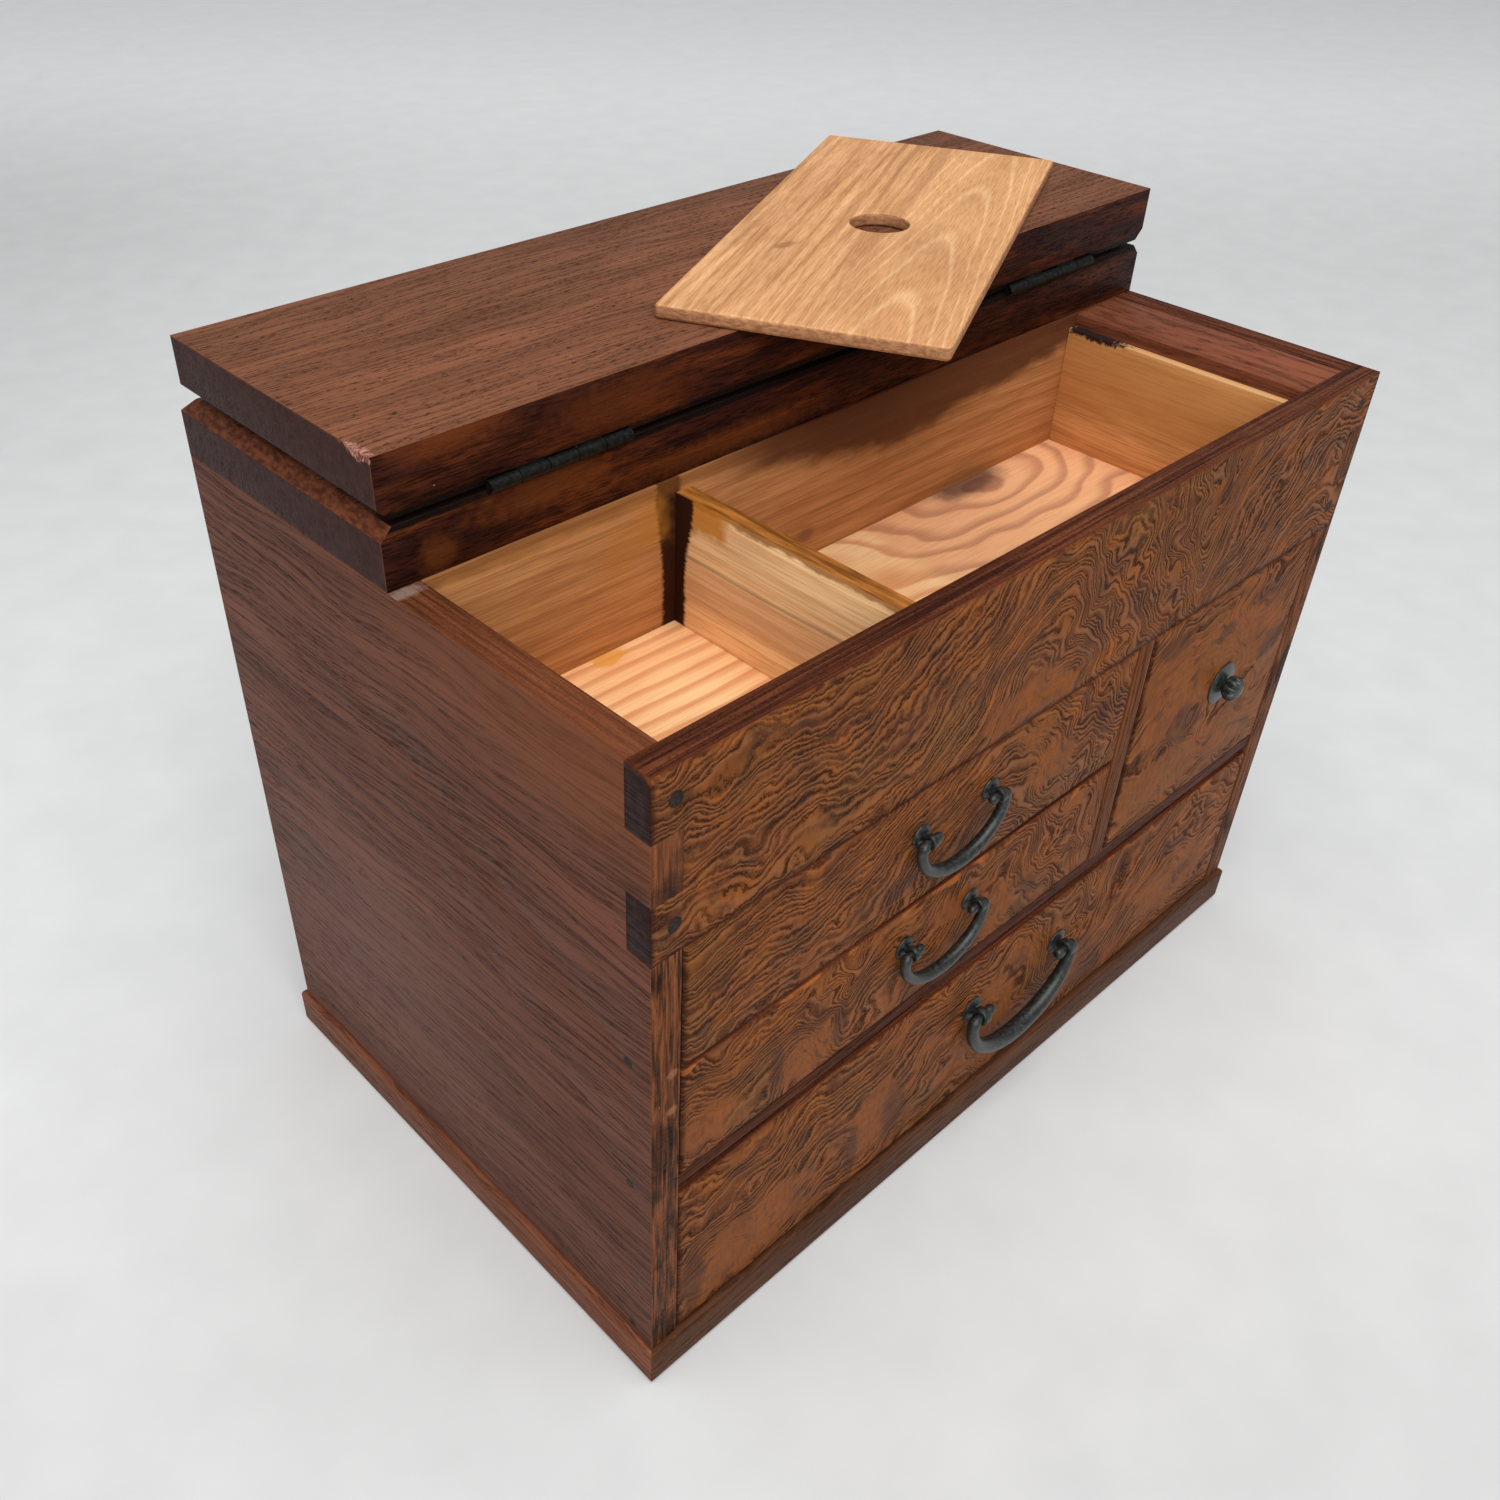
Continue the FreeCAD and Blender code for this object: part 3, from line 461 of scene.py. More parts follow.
def burr_finish(name, low, high, hills, pools, spacing, wander, calmness, chips, spots=(),
                shift=(0, 0, 0), scribe=None):
    s = Surface(name)
    flat = s.scaled(s.join(s.x, 0.0, s.z), (1, 1, 1), shift)
    aside = s.scaled(flat, (1, 1, 1), (133, 0, 71))
    leaning = s.plus(s.x, s.swing(aside, 30, 40, 2.0))
    height, slope = s.hills(leaning, hills)
    stretch = s.math("SQRT", s.plus(1.0, s.times(slope, slope, 0.8)))
    level = s.math("SUBTRACT", s.z, (low[2] + high[2]) / 2)
    field = s.math("DIVIDE", s.math("SUBTRACT", level, height), stretch)
    field = s.plus(field, s.swing(flat, 42, 34 * wander, 1.0), s.swing(aside, 15, 15 * wander, 1.0),
                   s.swing(flat, 6, 4.4, 1.0), s.swing(flat, 1.8, 1.9, 2.0))
    field = s.plus(field, s.swing(s.join(field, 0.0, 0.0), 8, 9, 1.0))
    if scribe:
        field = s.plus(field, s.times(s.smooth(s.z, scribe + 0.05, scribe - 0.05), 1.3 * spacing))
    ring = s.math("FRACT", s.math("DIVIDE", field, spacing))
    drift = s.join(s.times(field, 0.16), s.times(s.x, 0.06), s.times(s.z, 0.06))
    drift = s.scaled(drift, (1, 1, 1), shift)
    # Rows of open pores along each ring, with a raised light line between them.
    band = s.times(s.smooth(ring, 0.0, 0.10), s.inverse(s.smooth(ring, 0.34, 0.62)))
    rows = s.join(s.times(field, 2.1), s.times(s.x, 0.3), s.times(s.z, 0.3))
    threads = s.noise(rows, 1.0, 2.0, 0.6)
    grit = s.noise(flat, (PORE_SIZE, 1, PORE_SIZE), 2.0, 0.6)
    open_pores = s.smooth(s.plus(s.times(threads, 0.45), s.times(grit, 0.55)), 0.44, 0.53)
    vigour = s.smooth(s.noise(drift, 1.0, 2.0), 0.30, 0.56)
    calm = s.smooth(s.noise(s.scaled(drift, (0.8, 0.8, 0.8), (17, 5, 9)), 1.0, 3.0, 0.55),
                    0.66 - 0.14 * calmness, 0.74 - 0.14 * calmness)
    for x, z, wide, tall in pools:
        pool = s.spot((x, low[1], z), (wide, 20, tall), 0.16, 0.3)
        calm = s.math("MAXIMUM", calm, pool)
    quiet = s.inverse(s.times(calm, 0.86))
    pores = s.times(band, s.plus(0.35, s.times(open_pores, 0.65)),
                    s.plus(0.4, s.times(vigour, 0.6)), quiet)
    crest = s.times(s.smooth(ring, 0.6, 0.78), s.inverse(s.smooth(ring, 0.86, 1.0)))
    ground = s.ramp(s.noise(flat, 13, 4.0, 0.6), (0.34, BURR_BROWN), (0.5, BURR_RED),
                    (0.68, BURR_ORANGE))
    olive = s.smooth(s.noise(s.scaled(aside, (1, 1, 1), (40, 0, 7)), 34, 2.0), 0.5, 0.66)
    ground = s.mix(s.times(olive, 0.55), ground, BURR_OLIVE)
    colour = s.mix(s.times(calm, 0.5), ground, POOL_ORANGE)
    fibres = s.noise(flat, (1.2, 1, 5), 3.0, 0.6)
    colour = s.mix(s.times(s.smooth(fibres, 0.46, 0.68), 0.45), colour, FIBRE_BROWN)
    colour = s.mix(s.times(crest, 0.5, quiet), colour, CREST_TAN)
    colour = s.mix(s.times(pores, 0.88), colour, PORE_BLACK)
    smear = s.noise(s.scaled(drift, (1.7, 1.7, 1.7), (3, 41, 8)), 1.0, 3.0, 0.55)
    smear = s.times(s.smooth(smear, 0.54, 0.66), s.plus(0.45, s.times(open_pores, 0.55)))
    colour = s.mix(s.times(smear, 0.7), colour, SMEAR_BROWN)
    for x, z, wide, tall in spots:
        spot = s.spot((x, low[1], z), (wide, 20, tall), 0.3, 0.35)
        colour = s.mix(s.times(spot, 0.6), colour, SPOT_BROWN)
    # The board's top edge shows straight red grain, and its ends are dark.
    rim, colour = red_rim(s, colour, (48, 0.75, 4))
    ends = s.smooth(s.math("ABSOLUTE", s.facing_x), 0.8, 0.9)
    end_tone = s.ramp(s.noise(s.place, 2.0, 3.0), (0.35, (0.020, 0.010, 0.009)),
                      (0.65, (0.040, 0.021, 0.019)))
    colour = s.mix(ends, colour, end_tone)
    behind = s.smooth(s.facing_y, 0.6, 0.8)
    colour = s.mix(behind, colour, s.ramp(s.noise(s.place, (40, 4, 2), 3.0),
                                          (0.35, (0.3, 0.17, 0.09)), (0.65, (0.5, 0.31, 0.18))))
    # Arrises carry painted shade below and at the ends, where the gaps are, and are rubbed and
    # chipped along the top.
    arris_band = s.near_edge(low, high, 1.9)
    near_top = s.inverse(s.smooth(s.math("SUBTRACT", high[2], s.z), 1.0, 2.0))
    colour = s.mix(s.times(arris_band, s.inverse(near_top), 0.85), colour, ARRIS_SHADE_BLACK)
    colour = s.mix(s.times(arris_band, near_top, 0.5), colour, ARRIS_RED)
    if scribe:
        # A dark scored line at the shelf edge, with a painted highlight along the lip just above
        # it.
        above = s.math("SUBTRACT", s.z, scribe)
        cut = s.times(s.smooth(above, -0.35, -0.1), s.inverse(s.smooth(above, 0.0, 0.2)))
        lit = s.times(s.smooth(above, 0.05, 0.2), s.inverse(s.smooth(above, 0.4, 0.7)))
        colour = s.mix(s.times(cut, 0.75), colour, (0.03, 0.010, 0.005))
        colour = s.mix(s.times(lit, 0.4), colour, (0.36, 0.13, 0.05))
    below = s.plus(s.math("SUBTRACT", high[2], s.z), s.swing(s.place, (7, 3, 4), 9.0, 3.0))
    chipped = s.times(s.inverse(s.smooth(below, 0.6, 2.2)), s.inverse(rim),
                      s.smooth(s.noise(s.place, 9, 3.0), 0.5, 0.62))
    colour = s.mix(s.times(chipped, s.inverse(behind), chips), colour, CHIP_ORANGE)
    rough = s.plus(0.42, s.times(s.noise(s.place, 14, 2.0), 0.12), s.times(pores, 0.25))
    relief = s.plus(s.times(pores, -0.9), s.times(crest, 0.3))
    return s.finish(colour, rough, relief, 0.2, gloss=BURR_GLOSS)


# Bare light timber of the compartments, the tray lid and the drawer boxes

def bare_wood(name, grain, pale, ring_colour, shift, spacing, wave, contrast=0.5, fibres=0.75,
              extra=None):
    s = Surface(name)
    order = {"X": (s.x, s.y, s.z), "Y": (s.y, s.x, s.z), "Z": (s.z, s.x, s.y)}[grain]
    along, across, other = order
    here = s.scaled(s.join(along, across, other), (1, 1, 1), shift)
    field = s.plus(across, s.times(other, 0.6), s.swing(here, (110, 34, 34), wave, 1.5),
                   s.swing(here, (24, 6, 6), 1.2, 2.0))
    ring = s.math("FRACT", s.math("DIVIDE", field, spacing))
    late = s.times(s.smooth(ring, 0.3, 0.86), s.inverse(s.smooth(ring, 0.9, 1.0)))
    fibre = s.noise(here, (16, 0.45, 0.45), 2.0, 0.6)
    cloud = s.noise(here, (60, 14, 14), 3.0)
    colour = s.mix(s.times(late, contrast), pale, ring_colour)
    tone = s.ramp(fibre, (0.34, (0.74, 0.66, 0.58)), (0.6, (1.1, 1.1, 1.1)))
    colour = s.mix(fibres, colour, tone, "MULTIPLY")
    haze = s.ramp(cloud, (0.34, (0.84, 0.78, 0.72)), (0.66, (1.1, 1.09, 1.08)))
    colour = s.mix(0.9, colour, haze, "MULTIPLY")
    if extra:
        colour = extra(s, colour)
    rough = s.plus(0.6, s.times(fibre, 0.15))
    return s.finish(colour, rough, s.plus(s.times(fibre, 0.5), s.times(late, 0.4)), 0.07)


KIRI_PALE, KIRI_RING = (0.66, 0.40, 0.22), (0.46, 0.24, 0.12)
WALL_PALE, WALL_RING = (0.47, 0.225, 0.088), (0.30, 0.125, 0.042)
DIVIDER_PALE, DIVIDER_RING = (1.0, 0.70, 0.38), (0.78, 0.44, 0.19)
LINER_PALE, LINER_RING = (0.72, 0.39, 0.16), (0.48, 0.22, 0.075)
CORNER_DARK = (0.034, 0.010, 0.004)
FLOOR_RING_SPACING, FLOOR_CRACK = 5.4, -70.05


def back_wall_marks(s, colour):
    # A thin dark band in the corner by the divider, widening upwards, amber patches, a knot.
    ragged = s.swing(s.place, (2.5, 9, 0.9), 2.6, 3.0)
    corner = s.smooth(s.plus(s.x, ragged, s.times(s.smooth(s.z, 180, 204), 2.4)), -62.4, -61.0)
    left_half = s.inverse(s.smooth(s.x, -57, -55))
    colour = s.mix(s.times(corner, left_half), colour, CORNER_DARK)
    for x, z, wide, tall, amount in ((-66, 196, 6, 6, 0.7), (-76, 190, 5, 9, 0.35),
                                     (-95, 203, 34, 2, 0.25)):
        amber = s.spot((x, -2, z), (wide, 9, tall), 0.7, 0.4)
        colour = s.mix(s.times(amber, amount), colour, (0.42, 0.16, 0.024))
    # Painted shade along the top of the wall, just under the top board.
    under = s.smooth(s.plus(s.z, s.swing(s.place, (9, 9, 4), 4.0, 3.0)), 201.0, 204.5)
    colour = s.mix(s.times(under, 0.6), colour, (0.17, 0.058, 0.014))
    # The stain of the top board has run down the wall, deepest near its middle.
    run = s.hills(s.x, ((28, 34, 10), (85, 30, 4)))[0]
    top = s.plus(s.z, run, s.swing(s.place, (12, 9, 5), 9.0, 3.0))
    shade = s.times(s.smooth(top, 195, 202), s.smooth(s.x, -52, -20))
    colour = s.mix(s.times(shade, 0.9), colour, (0.085, 0.026, 0.010))
    tongue = s.spot((31, -2, 194), (3.5, 9, 5), 0.3, 0.4)
    colour = s.mix(s.times(tongue, 0.5), colour, (0.13, 0.045, 0.018))
    knot = s.spot((-8.5, -2, 172.5), (3.2, 9, 1.8), 0.5, 0.2)
    return s.mix(s.times(knot, 0.7), colour, (0.2, 0.09, 0.05))


def divider_marks(s, colour):
    # Bands along the board, a thin dark band in its back corner, an amber run and a golden top.
    wavy = s.plus(s.z, s.swing(s.place, (9, 60, 9), 3.0, 2.0))
    middle = s.times(s.smooth(wavy, 172, 176), s.inverse(s.smooth(wavy, 184, 187)))
    colour = s.mix(s.times(middle, 0.42), colour, (0.56, 0.28, 0.15))
    upper = s.times(s.smooth(wavy, 185, 187), s.inverse(s.smooth(wavy, 198, 200)))
    colour = s.mix(s.times(upper, 0.25), colour, (0.66, 0.44, 0.24))
    dark_line = s.times(s.smooth(wavy, 185.4, 186.0), s.inverse(s.smooth(wavy, 186.4, 187.4)))
    colour = s.mix(s.times(dark_line, 0.5), colour, (0.17, 0.09, 0.045))
    face = s.inverse(s.smooth(s.facing_z, 0.5, 0.7))
    edge = s.smooth(s.plus(s.z, s.swing(s.place, (9, 6, 3), 4.0, 4.0)), 200.4, 201.6)
    colour = s.mix(s.times(edge, face, 0.8), colour, (0.30, 0.11, 0.018))
    ragged = s.swing(s.place, (9, 2.5, 0.9), 2.4, 3.0)
    spread = s.times(s.smooth(s.z, 180, 201), 2.5)
    corner = s.smooth(s.plus(s.y, ragged, spread), -6.6, -5.2)
    near_face = s.inverse(s.smooth(s.x, -56, -54))
    runs = s.smooth(s.plus(s.y, s.swing(s.place, (9, 5, 3), 7.0, 3.0)), -22, -18)
    amber = s.times(runs, s.smooth(s.plus(s.z, s.swing(s.place, 4, 5.0)), 193, 196), near_face)
    colour = s.mix(s.times(amber, 0.85), colour, (0.55, 0.20, 0.012))
    colour = s.mix(s.times(corner, near_face), colour, CORNER_DARK)
    top = s.smooth(s.facing_z, 0.6, 0.8)
    top_tone = s.ramp(s.noise(s.place, (1.2, 12, 3), 3.0), (0.36, (0.17, 0.055, 0.010)),
                      (0.5, (0.30, 0.105, 0.018)), (0.66, (0.46, 0.17, 0.03)))
    return s.mix(top, colour, top_tone)


def liner_marks(s, colour):
    # Golden above, paler below, with a dark stain at the back of its top edge.
    wavy = s.plus(s.z, s.swing(s.place, (9, 40, 9), 4.0, 2.0))
    amber = s.times(s.smooth(wavy, 178, 182), s.inverse(s.smooth(s.z, 201, 202)))
    colour = s.mix(s.times(amber, 0.6), colour, (0.50, 0.21, 0.055))
    top = s.smooth(s.facing_z, 0.6, 0.8)
    colour = s.mix(s.times(top, 0.7), colour, (0.66, 0.37, 0.17))
    stain = s.spot((108.5, -11, 202.6), (6, 11, 1.9), 0.3, 0.4)
    return s.mix(stain, colour, (0.03, 0.014, 0.014))


def floor_finish():
    # Pine boards: straight red bands on the left, open arches on the right.
    s = Surface("floor_finish")
    here = s.join(s.x, s.y, 0.0)
    across = s.plus(s.y, 6)
    along = s.times(s.math("SUBTRACT", s.x, 62), 0.42)
    round_knot = s.math("SQRT", s.plus(s.times(across, across), s.times(along, along)))
    round_knot = s.plus(round_knot, s.swing(here, (38, 24, 20), 16.0, 1.0))
    right = s.smooth(s.x, -52, -48)
    straight = s.plus(s.y, s.times(s.x, 0.02))
    field = s.plus(s.times(right, round_knot, 0.8), s.times(s.inverse(right), straight),
                   s.swing(here, (60, 22, 20), 6.0, 1.5), s.swing(here, (20, 5, 5), 1.0, 2.0))
    ring = s.math("FRACT", s.math("DIVIDE", field, FLOOR_RING_SPACING))
    late = s.times(s.smooth(ring, 0.35, 0.8), s.inverse(s.smooth(ring, 0.84, 1.0)))
    fibre = s.noise(here, (18, 0.5, 0.5), 2.0, 0.6)
    pale = s.ramp(s.noise(here, (60, 18, 18), 2.0), (0.35, (0.92, 0.50, 0.23)),
                  (0.65, (1.0, 0.66, 0.34)))
    edge = s.plus(s.x, s.times(s.y, -0.2), s.swing(here, 26, 30.0))
    front_strip = s.inverse(s.smooth(s.plus(s.y, s.times(s.x, -0.12)), -62, -58))
    heart = s.times(right, s.math("MAXIMUM", s.smooth(edge, 16, 24), front_strip))
    pale = s.mix(s.times(heart, 0.7), pale, (0.86, 0.43, 0.22))
    ring_tone = s.mix(heart, (0.66, 0.24, 0.09), (0.47, 0.19, 0.105))
    colour = s.mix(s.times(late, 0.66), pale, ring_tone)
    tone = s.ramp(fibre, (0.34, (0.86, 0.8, 0.76)), (0.6, (1.05, 1.05, 1.05)))
    colour = s.mix(0.7, colour, tone, "MULTIPLY")
    crack = s.times(s.smooth(s.y, FLOOR_CRACK - 0.55, FLOOR_CRACK - 0.15),
                    s.inverse(s.smooth(s.y, FLOOR_CRACK + 0.15, FLOOR_CRACK + 0.55)))
    colour = s.mix(s.times(crack, 0.7), colour, (0.2, 0.08, 0.03))
    knot = s.spot((62, -3, 165), (15, 7, 6), 0.5, 0.15)
    colour = s.mix(s.times(knot, 0.85), colour, (0.10, 0.04, 0.032))
    glue = s.spot((-82, -4, 165), (5, 3, 3), 0.3, 0.4)
    colour = s.mix(s.times(glue, 0.8), colour, (0.75, 0.33, 0.05))
    return s.finish(colour, s.plus(0.6, s.times(fibre, 0.15)), s.times(fibre, 0.5), 0.07)


def tray_lid_finish():
    s = Surface("tray_lid_finish")
    turn = s.add("ShaderNodeMapping", vector_type="TEXTURE")
    s.feed(turn.inputs["Vector"], s.place)
    turn.inputs["Location"].default_value = LID_CENTRE
    turn.inputs["Rotation"].default_value = (0, 0, LID_TURN)
    u, v, w = s.split(turn.outputs[0])
    here = s.join(u, v, w)
    # Pale arched rings open at the near end, with straight streaks beside them.
    off = s.plus(v, 20, s.swing(here, (70, 24, 20), 5.0, 1.0))
    arch = s.plus(u, s.times(off, off, 0.62), s.swing(here, (50, 14, 16), 14.0, 2.0))
    ring = s.math("FRACT", s.math("DIVIDE", s.plus(arch, 12), 47))
    line = s.times(s.smooth(ring, 0.0, 0.1), s.inverse(s.smooth(ring, 0.12, 0.3)))
    fine_ring = s.math("FRACT", s.math("DIVIDE", arch, 11.5))
    fine_line = s.times(s.smooth(fine_ring, 0.1, 0.5), s.inverse(s.smooth(fine_ring, 0.6, 1.0)))
    near = s.inverse(s.smooth(s.plus(v, s.swing(here, 40, 6.0)), -6, 0))
    fibre = s.noise(here, (7, 0.42, 0.7), 2.0, 0.6)
    streak = s.noise(here, (60, 2.0, 3), 3.0, 0.6)
    cloud = s.noise(here, (44, 12, 14), 3.0)
    colour = s.ramp(streak, (0.34, (0.50, 0.245, 0.105)), (0.5, (0.67, 0.36, 0.17)),
                    (0.66, (0.76, 0.44, 0.225)))
    plain = s.mix(s.times(fine_line, 0.22), (0.67, 0.365, 0.172), (0.58, 0.29, 0.125))
    colour = s.mix(near, colour, plain)
    colour = s.mix(s.times(line, near, 0.55), colour, (0.86, 0.56, 0.31))
    tone = s.ramp(fibre, (0.36, (0.80, 0.72, 0.65)), (0.56, (1.05, 1.05, 1.05)))
    colour = s.mix(0.85, colour, tone, "MULTIPLY")
    haze = s.ramp(cloud, (0.34, (0.86, 0.80, 0.75)), (0.68, (1.1, 1.09, 1.08)))
    colour = s.mix(0.9, colour, haze, "MULTIPLY")
    for middle, half in ((-3, 2.2), (6, 1.6), (10, 1.2)):
        bent = s.plus(v, s.swing(here, (40, 6, 6), 5.0))
        away = s.math("ABSOLUTE", s.math("SUBTRACT", bent, middle))
        heart = s.times(s.inverse(s.smooth(away, half * 0.3, half)), s.smooth(u, -46, 6))
        colour = s.mix(s.times(heart, 0.5), colour, (0.38, 0.17, 0.075))
    dent = s.spot((7.7, 26.9, 241.3), (4, 1.6, 1.5), 0.5, 0.4)
    colour = s.mix(s.times(dent, 0.7), colour, (0.3, 0.13, 0.05))
    edge = s.inverse(s.smooth(s.math("ABSOLUTE", s.facing_z), 0.5, 0.8))
    edge_tone = s.ramp(s.noise(here, (2.2, 2.2, 0.8), 3.0, 0.6), (0.38, (0.24, 0.092, 0.042)),
                       (0.62, (0.50, 0.24, 0.12)))
    colour = s.mix(s.times(edge, 0.75), colour, edge_tone)
    rough = s.plus(0.55, s.times(fibre, 0.2))
    return s.finish(colour, rough, s.plus(s.times(fibre, 0.6), s.times(line, 0.3)), 0.06)


def iron_finish(name, shine, depth, gloss=0.7):
    s = Surface(name)
    crust = s.noise(s.place, 1.1, 4.0, 0.6)
    patch = s.noise(s.place, 4.0, 2.0)
    tones = ((0.017, 0.020, 0.019), (0.042, 0.049, 0.045), (0.105, 0.116, 0.108))
    colour = s.ramp(crust, *((place, tuple(c * depth for c in tone))
                             for place, tone in zip((0.36, 0.52, 0.7), tones)))
    rust = s.smooth(patch, 0.56, 0.68)
    colour = s.mix(s.times(rust, 0.4), colour, tuple(c * depth for c in (0.05, 0.032, 0.02)))
    rough = s.plus(shine - 0.05, s.times(crust, 0.3))
    return s.finish(colour, rough, crust, 0.06, metal=0.3, gloss=gloss)


def peg_finish():
    s = Surface("peg_finish")
    colour = s.ramp(s.noise(s.place, 1.1, 3.0), (0.35, (0.012, 0.007, 0.006)),
                    (0.65, (0.036, 0.018, 0.014)))
    return s.finish(colour, 0.5, s.noise(s.place, 0.8, 2.0), 0.08)


# Pieces worked by hand

def start_piece():
    bpy.ops.object.select_all(action="DESELECT")


def take_up(piece):
    start_piece()
    piece.select_set(True)
    bpy.context.view_layer.objects.active = piece


def eased_copy(node, material, arris=0.35, segments=2, rounds=0):
    # A copy of a board with its arrises eased, which stands for the board.
    source = nodes[node]
    piece = source.copy()
    piece.data = source.data.copy()
    piece.name = node + "_eased"
    piece.data.name = piece.name
    bpy.context.scene.collection.objects.link(piece)
    take_up(piece)
    bpy.ops.mesh.customdata_custom_splitnormals_clear()
    bpy.ops.object.mode_set(mode="EDIT")
    bpy.ops.mesh.select_all(action="SELECT")
    bpy.ops.mesh.remove_doubles(threshold=0.000002)
    bpy.ops.mesh.tris_convert_to_quads(face_threshold=0.01, shape_threshold=3.1)
    bpy.ops.mesh.dissolve_limited(angle_limit=math.radians(0.5))
    bpy.ops.object.mode_set(mode="OBJECT")
    if arris:
        bevel = piece.modifiers.new("arris", "BEVEL")
        bevel.width = arris * MM
        bevel.segments = segments
        bevel.limit_method = "ANGLE"
        bevel.angle_limit = math.radians(25)
        bevel.use_clamp_overlap = True
        bpy.ops.object.modifier_apply(modifier="arris")
    if rounds:
        smooth = piece.modifiers.new("round", "SUBSURF")
        smooth.levels = rounds
        smooth.render_levels = rounds
        bpy.ops.object.modifier_apply(modifier="round")
    bpy.ops.object.shade_smooth_by_angle(angle=math.radians(30))
    piece.data.materials.clear()
    piece.data.materials.append(material)
    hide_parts(node)
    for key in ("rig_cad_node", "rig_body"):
        if key in piece:
            del piece[key]
    piece.parent = None
    piece.hide_render = False
    piece.hide_viewport = False
    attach(piece, body_of[node])
    return piece


def ribbed_head(material):
    # The knob's fluted head, drawn out ring by ring from a disc at its neck.
    low, high = board_box("right_knob_rosette")
    axis_x, axis_z = (low[0] + high[0]) / 2, (low[2] + high[2]) / 2
    face = KNOB_NECK_FACE
    start_piece()
    bpy.ops.mesh.primitive_circle_add(vertices=6 * KNOB_FLUTES, radius=KNOB_NECK_RADIUS * MM,
                                      fill_type="NGON", rotation=(math.pi / 2, 0, 0),
                                      location=(axis_x * MM, face * MM, axis_z * MM))
    head = bpy.context.active_object
    head.name = "right_knob_head"
    bpy.ops.object.transform_apply(location=True, rotation=True, scale=True)
    bpy.ops.object.mode_set(mode="EDIT")
    bpy.ops.mesh.select_all(action="SELECT")
    radius, place = KNOB_NECK_RADIUS, face
    for radius_to, place_to in KNOB_RINGS:
        step = {"value": (0, (place_to - place) * MM, 0)}
        bpy.ops.mesh.extrude_region_move(TRANSFORM_OT_translate=step)
        grow = radius_to / radius
        bpy.ops.transform.resize(value=(grow, 1, grow),
                                 center_override=(axis_x * MM, place_to * MM, axis_z * MM))
        radius, place = radius_to, place_to
    bpy.ops.mesh.select_all(action="DESELECT")
    bpy.ops.object.mode_set(mode="OBJECT")
    for point in head.data.vertices:
        x, z = point.co.x / MM - axis_x, point.co.z / MM - axis_z
        turn = math.atan2(z, x) * KNOB_FLUTES
        in_flute = math.cos(turn) < -0.4
        point.select = in_flute and math.hypot(x, z) > KNOB_NECK_RADIUS + 0.1
    bpy.ops.object.mode_set(mode="EDIT")
    bpy.ops.mesh.select_mode(type="VERT")
    bpy.ops.transform.resize(value=(FLUTE_SHRINK, 1, FLUTE_SHRINK),
                             center_override=(axis_x * MM, face * MM, axis_z * MM))
    bpy.ops.mesh.select_all(action="SELECT")
    bpy.ops.mesh.normals_make_consistent(inside=False)
    bpy.ops.object.mode_set(mode="OBJECT")
    smooth = head.modifiers.new("round", "SUBSURF")
    smooth.levels = 1
    smooth.render_levels = 1
    bpy.ops.object.modifier_apply(modifier="round")
    bpy.ops.object.shade_smooth()
    head.data.materials.append(material)
    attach(head, body_of["right_knob"])


def paint(node, material):
    body = nodes[node]
    body.data.materials.clear()
    body.data.materials.append(material)


# Each plain board: its grain, its colour, the shift of its figure, and how strong
# its lines and pores are.
PLAIN_BOARDS = (
    ("back_panel", "X upright", SIDE_BROWN, (5, 9, 2), 0.55, 0.5),
    ("bottom_board", "X", BOTTOM_BROWN, (1, 3, 2), 0.55, 0.5),
    ("lower_shelf", "X upright", SHELF_BROWN, (5, 9, 2), 0.7, 0.6),
    ("upper_shelf", "X", FRONT_RED, (5, 9, 2), 0.55, 0.5),
    ("drawer_partition", "Z", STRIP_BROWN, (5, 9, 2), 0.8, 0.6),
    ("right_filler_board", "Y", FILLER_BROWN, (9, 2, 4), 0.5, 0.5),
)


def finish_case():
    for side, shift in (("left", (0, 0, 0)), ("right", (0, 40, 25))):
        node = "side_" + side
        finish = board_finish(node, "Y", SIDE_BROWN, shift, 0.03, 0.6, 0.5, 42, side_marks)
        eased_copy(node, finish, 0.25)
    for place in ("front", "back"):
        node = "plinth_" + place + "_rail"
        eased_copy(node, board_finish(node, "X upright", PLINTH_FRONT_BROWN, (11, 7, 0)), 0.2)
    for place in ("left", "right"):
        node = "plinth_" + place + "_rail"
        eased_copy(node, board_finish(node, "Y", PLINTH_SIDE_BROWN, (3, 17, 0)), 0.2)
    low, high = board_box("front_fascia")
    hills = ((-13, 40, 44), (63, 24, -36), (118, 24, 12))
    pools = ((-14, 163, 17, 8), (-2, 160, 8, 6))
    figured = burr_finish("fascia_finish", low, high, hills, pools, 2.1, 0.85, 0.35, 0.25)
    eased_copy("front_fascia", figured, 0.25)
    for node, grain, tone, shift, lines, dashes in PLAIN_BOARDS:
        eased_copy(node, board_finish(node, grain, tone, shift, 0.0, lines, dashes), 0.2)
    pegs = peg_finish()
    paint("fascia_pegs", pegs)
    paint("side_nails", pegs)


def finish_top():
    rear = board_finish("fixed_top_board", "X", TOP_BROWN, (20, 4, 0), 0.0, 0.4, 0.8, 22,
                        fixed_board_marks)
    eased_copy("fixed_top_board", rear, 0.5)
    flap = board_finish("folding_lid", "X", TOP_BROWN, (0, 0, 0), 0.0, 0.4, 0.85, 22, lid_marks)
    eased_copy("folding_lid", flap, 0.7)
    iron = iron_finish("hinge_iron", 0.4, 0.2, 0.2)
    for node in ("hinge_fixed_leaves", "hinge_lid_leaves", "hinge_pins", "hinge_fixed_screws",
                 "hinge_lid_screws"):
        paint(node, iron)


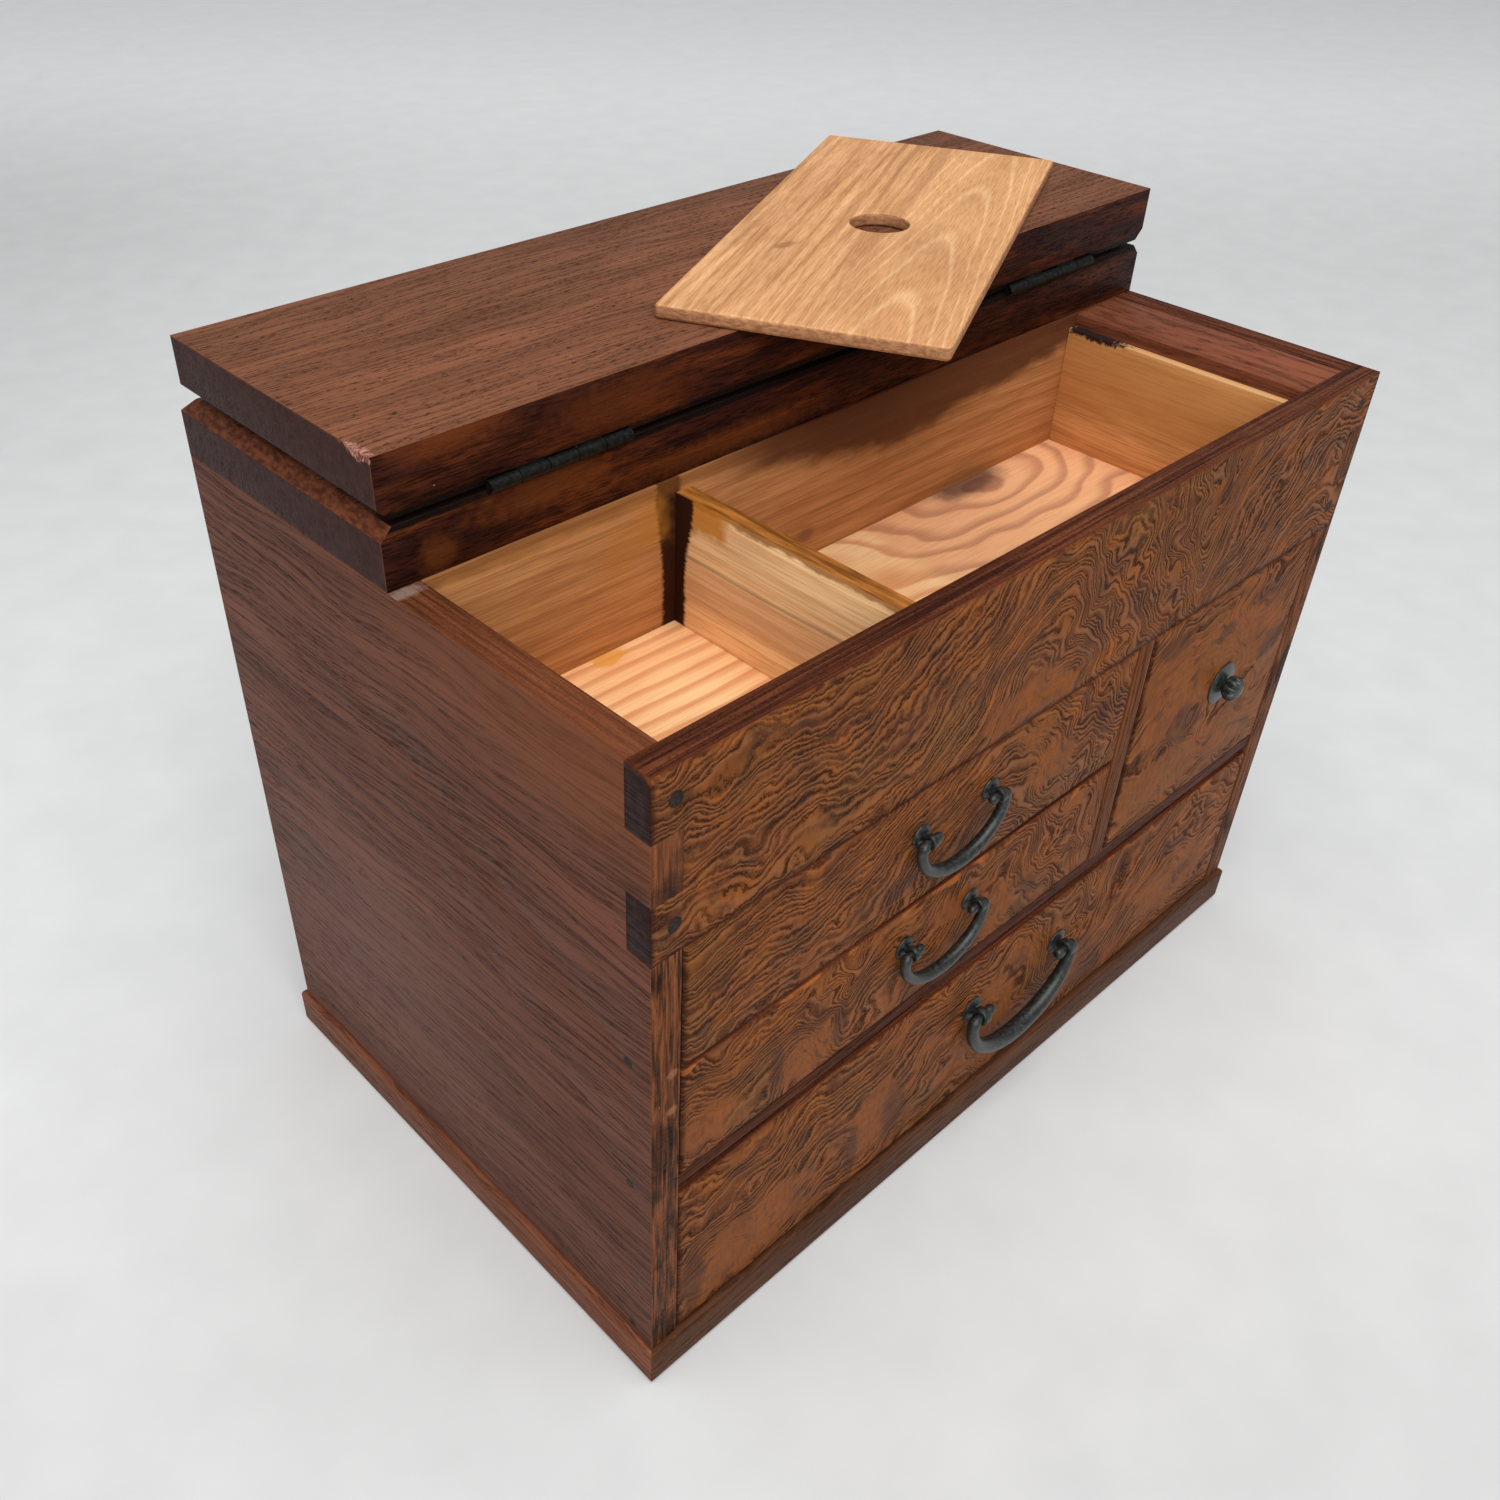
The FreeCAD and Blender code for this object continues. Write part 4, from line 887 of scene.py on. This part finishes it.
def finish_compartments():
    eased_copy("compartment_back_wall",
               bare_wood("back_wall_finish", "X", WALL_PALE, WALL_RING, (0, 0, 0), 3.4, 10.0,
                         0.4, 0.85, back_wall_marks), 0.2)
    eased_copy("compartment_divider",
               bare_wood("divider_finish", "Y", DIVIDER_PALE, DIVIDER_RING, (9, 3, 0), 3.0, 8.0,
                         0.5, 0.8, divider_marks), 0.3)
    eased_copy("right_liner",
               bare_wood("liner_finish", "Y", LINER_PALE, LINER_RING, (3, 31, 0), 6.0, 12.0,
                         0.35, 0.8, liner_marks), 0.25)
    eased_copy("compartment_floor", floor_finish(), 0.0)
    eased_copy("tray_lid", tray_lid_finish(), 0.6, 3)


# The figure of each drawer front: its arches as (x, width, lift), its calm pools
# and dark spots as (x, z, width, height), and how wide and wild its rings are.
FRONTS = {
    "top_left": dict(
        hills=((-20, 42, 34), (52, 26, -46)),
        pools=((2, 136, 11, 7), (-8, 150, 7, 4)),
        spots=((-58, 128, 5, 3),),
        spacing=2.1, wander=0.85, calmness=0.5, shift=(180, 0, 60), chips=0.35,
        scribe=SHELF_EDGE_LINE),
    "middle_left": dict(
        hills=((-92, 16, 13), (-70, 9, -12), (-20, 22, 20), (45, 24, -40)),
        pools=((-122, 92, 9, 7), (-88, 90, 10, 8), (-30, 105, 13, 5), (-12, 92, 10, 8)),
        spots=((3, 91, 4, 4), (2, 108, 2.5, 5), (-99, 94, 2.5, 8), (-76, 92, 3, 9)),
        spacing=2.3, wander=1.3, calmness=0.85, shift=(20, 0, 140), chips=0.8),
    "right": dict(
        hills=((70, 20, 18), (110, 26, -16)),
        pools=((95, 130, 30, 16), (70, 95, 24, 10), (110, 95, 20, 10), (60, 130, 12, 22)),
        spots=((76, 112, 10, 8), (57, 148, 8, 4), (88, 140, 5, 3), (108, 146, 9, 4),
               (121, 122, 7, 5)),
        spacing=3.6, wander=1.6, calmness=1.3, shift=(310, 0, 20), chips=0.35),
    "bottom": dict(
        hills=((-20, 46, 20), (46, 17, -26), (95, 34, 12)),
        pools=((-104, 30, 24, 13), (-55, 36, 12, 14), (-4, 42, 13, 14), (20, 24, 30, 8),
               (100, 34, 24, 12)),
        spots=((-64, 28, 2.5, 12), (-46, 34, 5, 12), (-126, 30, 4, 14), (52, 22, 9, 5),
               (95, 52, 8, 3)),
        spacing=2.9, wander=1.2, calmness=0.8, shift=(90, 0, 260), chips=0.45),
}


def finish_drawers():
    for drawer, figure in FRONTS.items():
        node = drawer + "_drawer_front"
        low, high = board_box(node)
        eased_copy(node, burr_finish(drawer + "_front_finish", low, high, **figure), 0.4)
        shift = figure["shift"]
        box = bare_wood(drawer + "_box_finish", "Y", KIRI_PALE, KIRI_RING, shift, 5.0, 12.0)
        across = bare_wood(drawer + "_board_finish", "X", KIRI_PALE, KIRI_RING, shift, 6.0, 18.0)
        for part in ("left_side", "right_side"):
            eased_copy(drawer + "_drawer_" + part, box, 0.3)
        for part in ("back", "bottom"):
            eased_copy(drawer + "_drawer_" + part, across, 0.2)


def finish_pulls():
    for drawer in BAIL_DRAWERS:
        iron = iron_finish(drawer + "_pull_iron", 0.3, 0.55)
        eased_copy(drawer + "_bail", iron, 0, rounds=2)
        eased_copy(drawer + "_pull_posts", iron, 0.25, 2)
        eased_copy(drawer + "_pull_rosettes", iron, 0.15, 1, 1)
    iron = iron_finish("knob_iron", 0.26, 0.7)
    ribbed_head(iron)
    eased_copy("right_knob", iron, 0.15, 1, 1)
    eased_copy("right_knob_rosette", iron, 0.15, 1, 1)


# Floor that the box stands on

FLOOR_GREY = 0.765
LIGHT_FADE_X, LIGHT_FADE_Y = 0.685, 0.728  # the way along which the painted light on the floor grows brighter


def lay_floor():
    start_piece()
    bpy.ops.mesh.primitive_plane_add(size=8, location=(0, 0, -0.0004))
    floor = bpy.context.active_object
    floor.name = "studio_floor"
    s = Surface("studio_floor_finish")
    # Painted light and shade: lighter far off, darker at the far left, on the right and near the
    # front.
    away = s.plus(s.times(s.x, LIGHT_FADE_X), s.times(s.y, LIGHT_FADE_Y))
    aside = s.plus(s.times(s.x, LIGHT_FADE_Y), s.times(s.y, -LIGHT_FADE_X))
    far_light = s.smooth(away, 700, 1300)
    left = s.times(s.inverse(s.smooth(aside, -600, -200)), s.smooth(away, 100, 420))
    value = s.plus(FLOOR_GREY, s.times(far_light, 0.2), s.times(left, s.inverse(far_light), -0.11),
                   s.times(s.smooth(aside, -100, 200), s.inverse(far_light), -0.035),
                   s.times(s.inverse(s.smooth(away, -200, -60)), -0.06),
                   s.swing(s.place, 28, 0.10, 4.0))
    colour = s.ramp(value, (0.0, (0.0, 0.0, 0.0)), (1.0, (0.995, 1.0, 1.0)))
    floor.data.materials.append(s.finish(colour, 0.7, gloss=0.1))


place_camera()
light_the_room()
lay_floor()
finish_case()
finish_top()
finish_compartments()
finish_drawers()
finish_pulls()
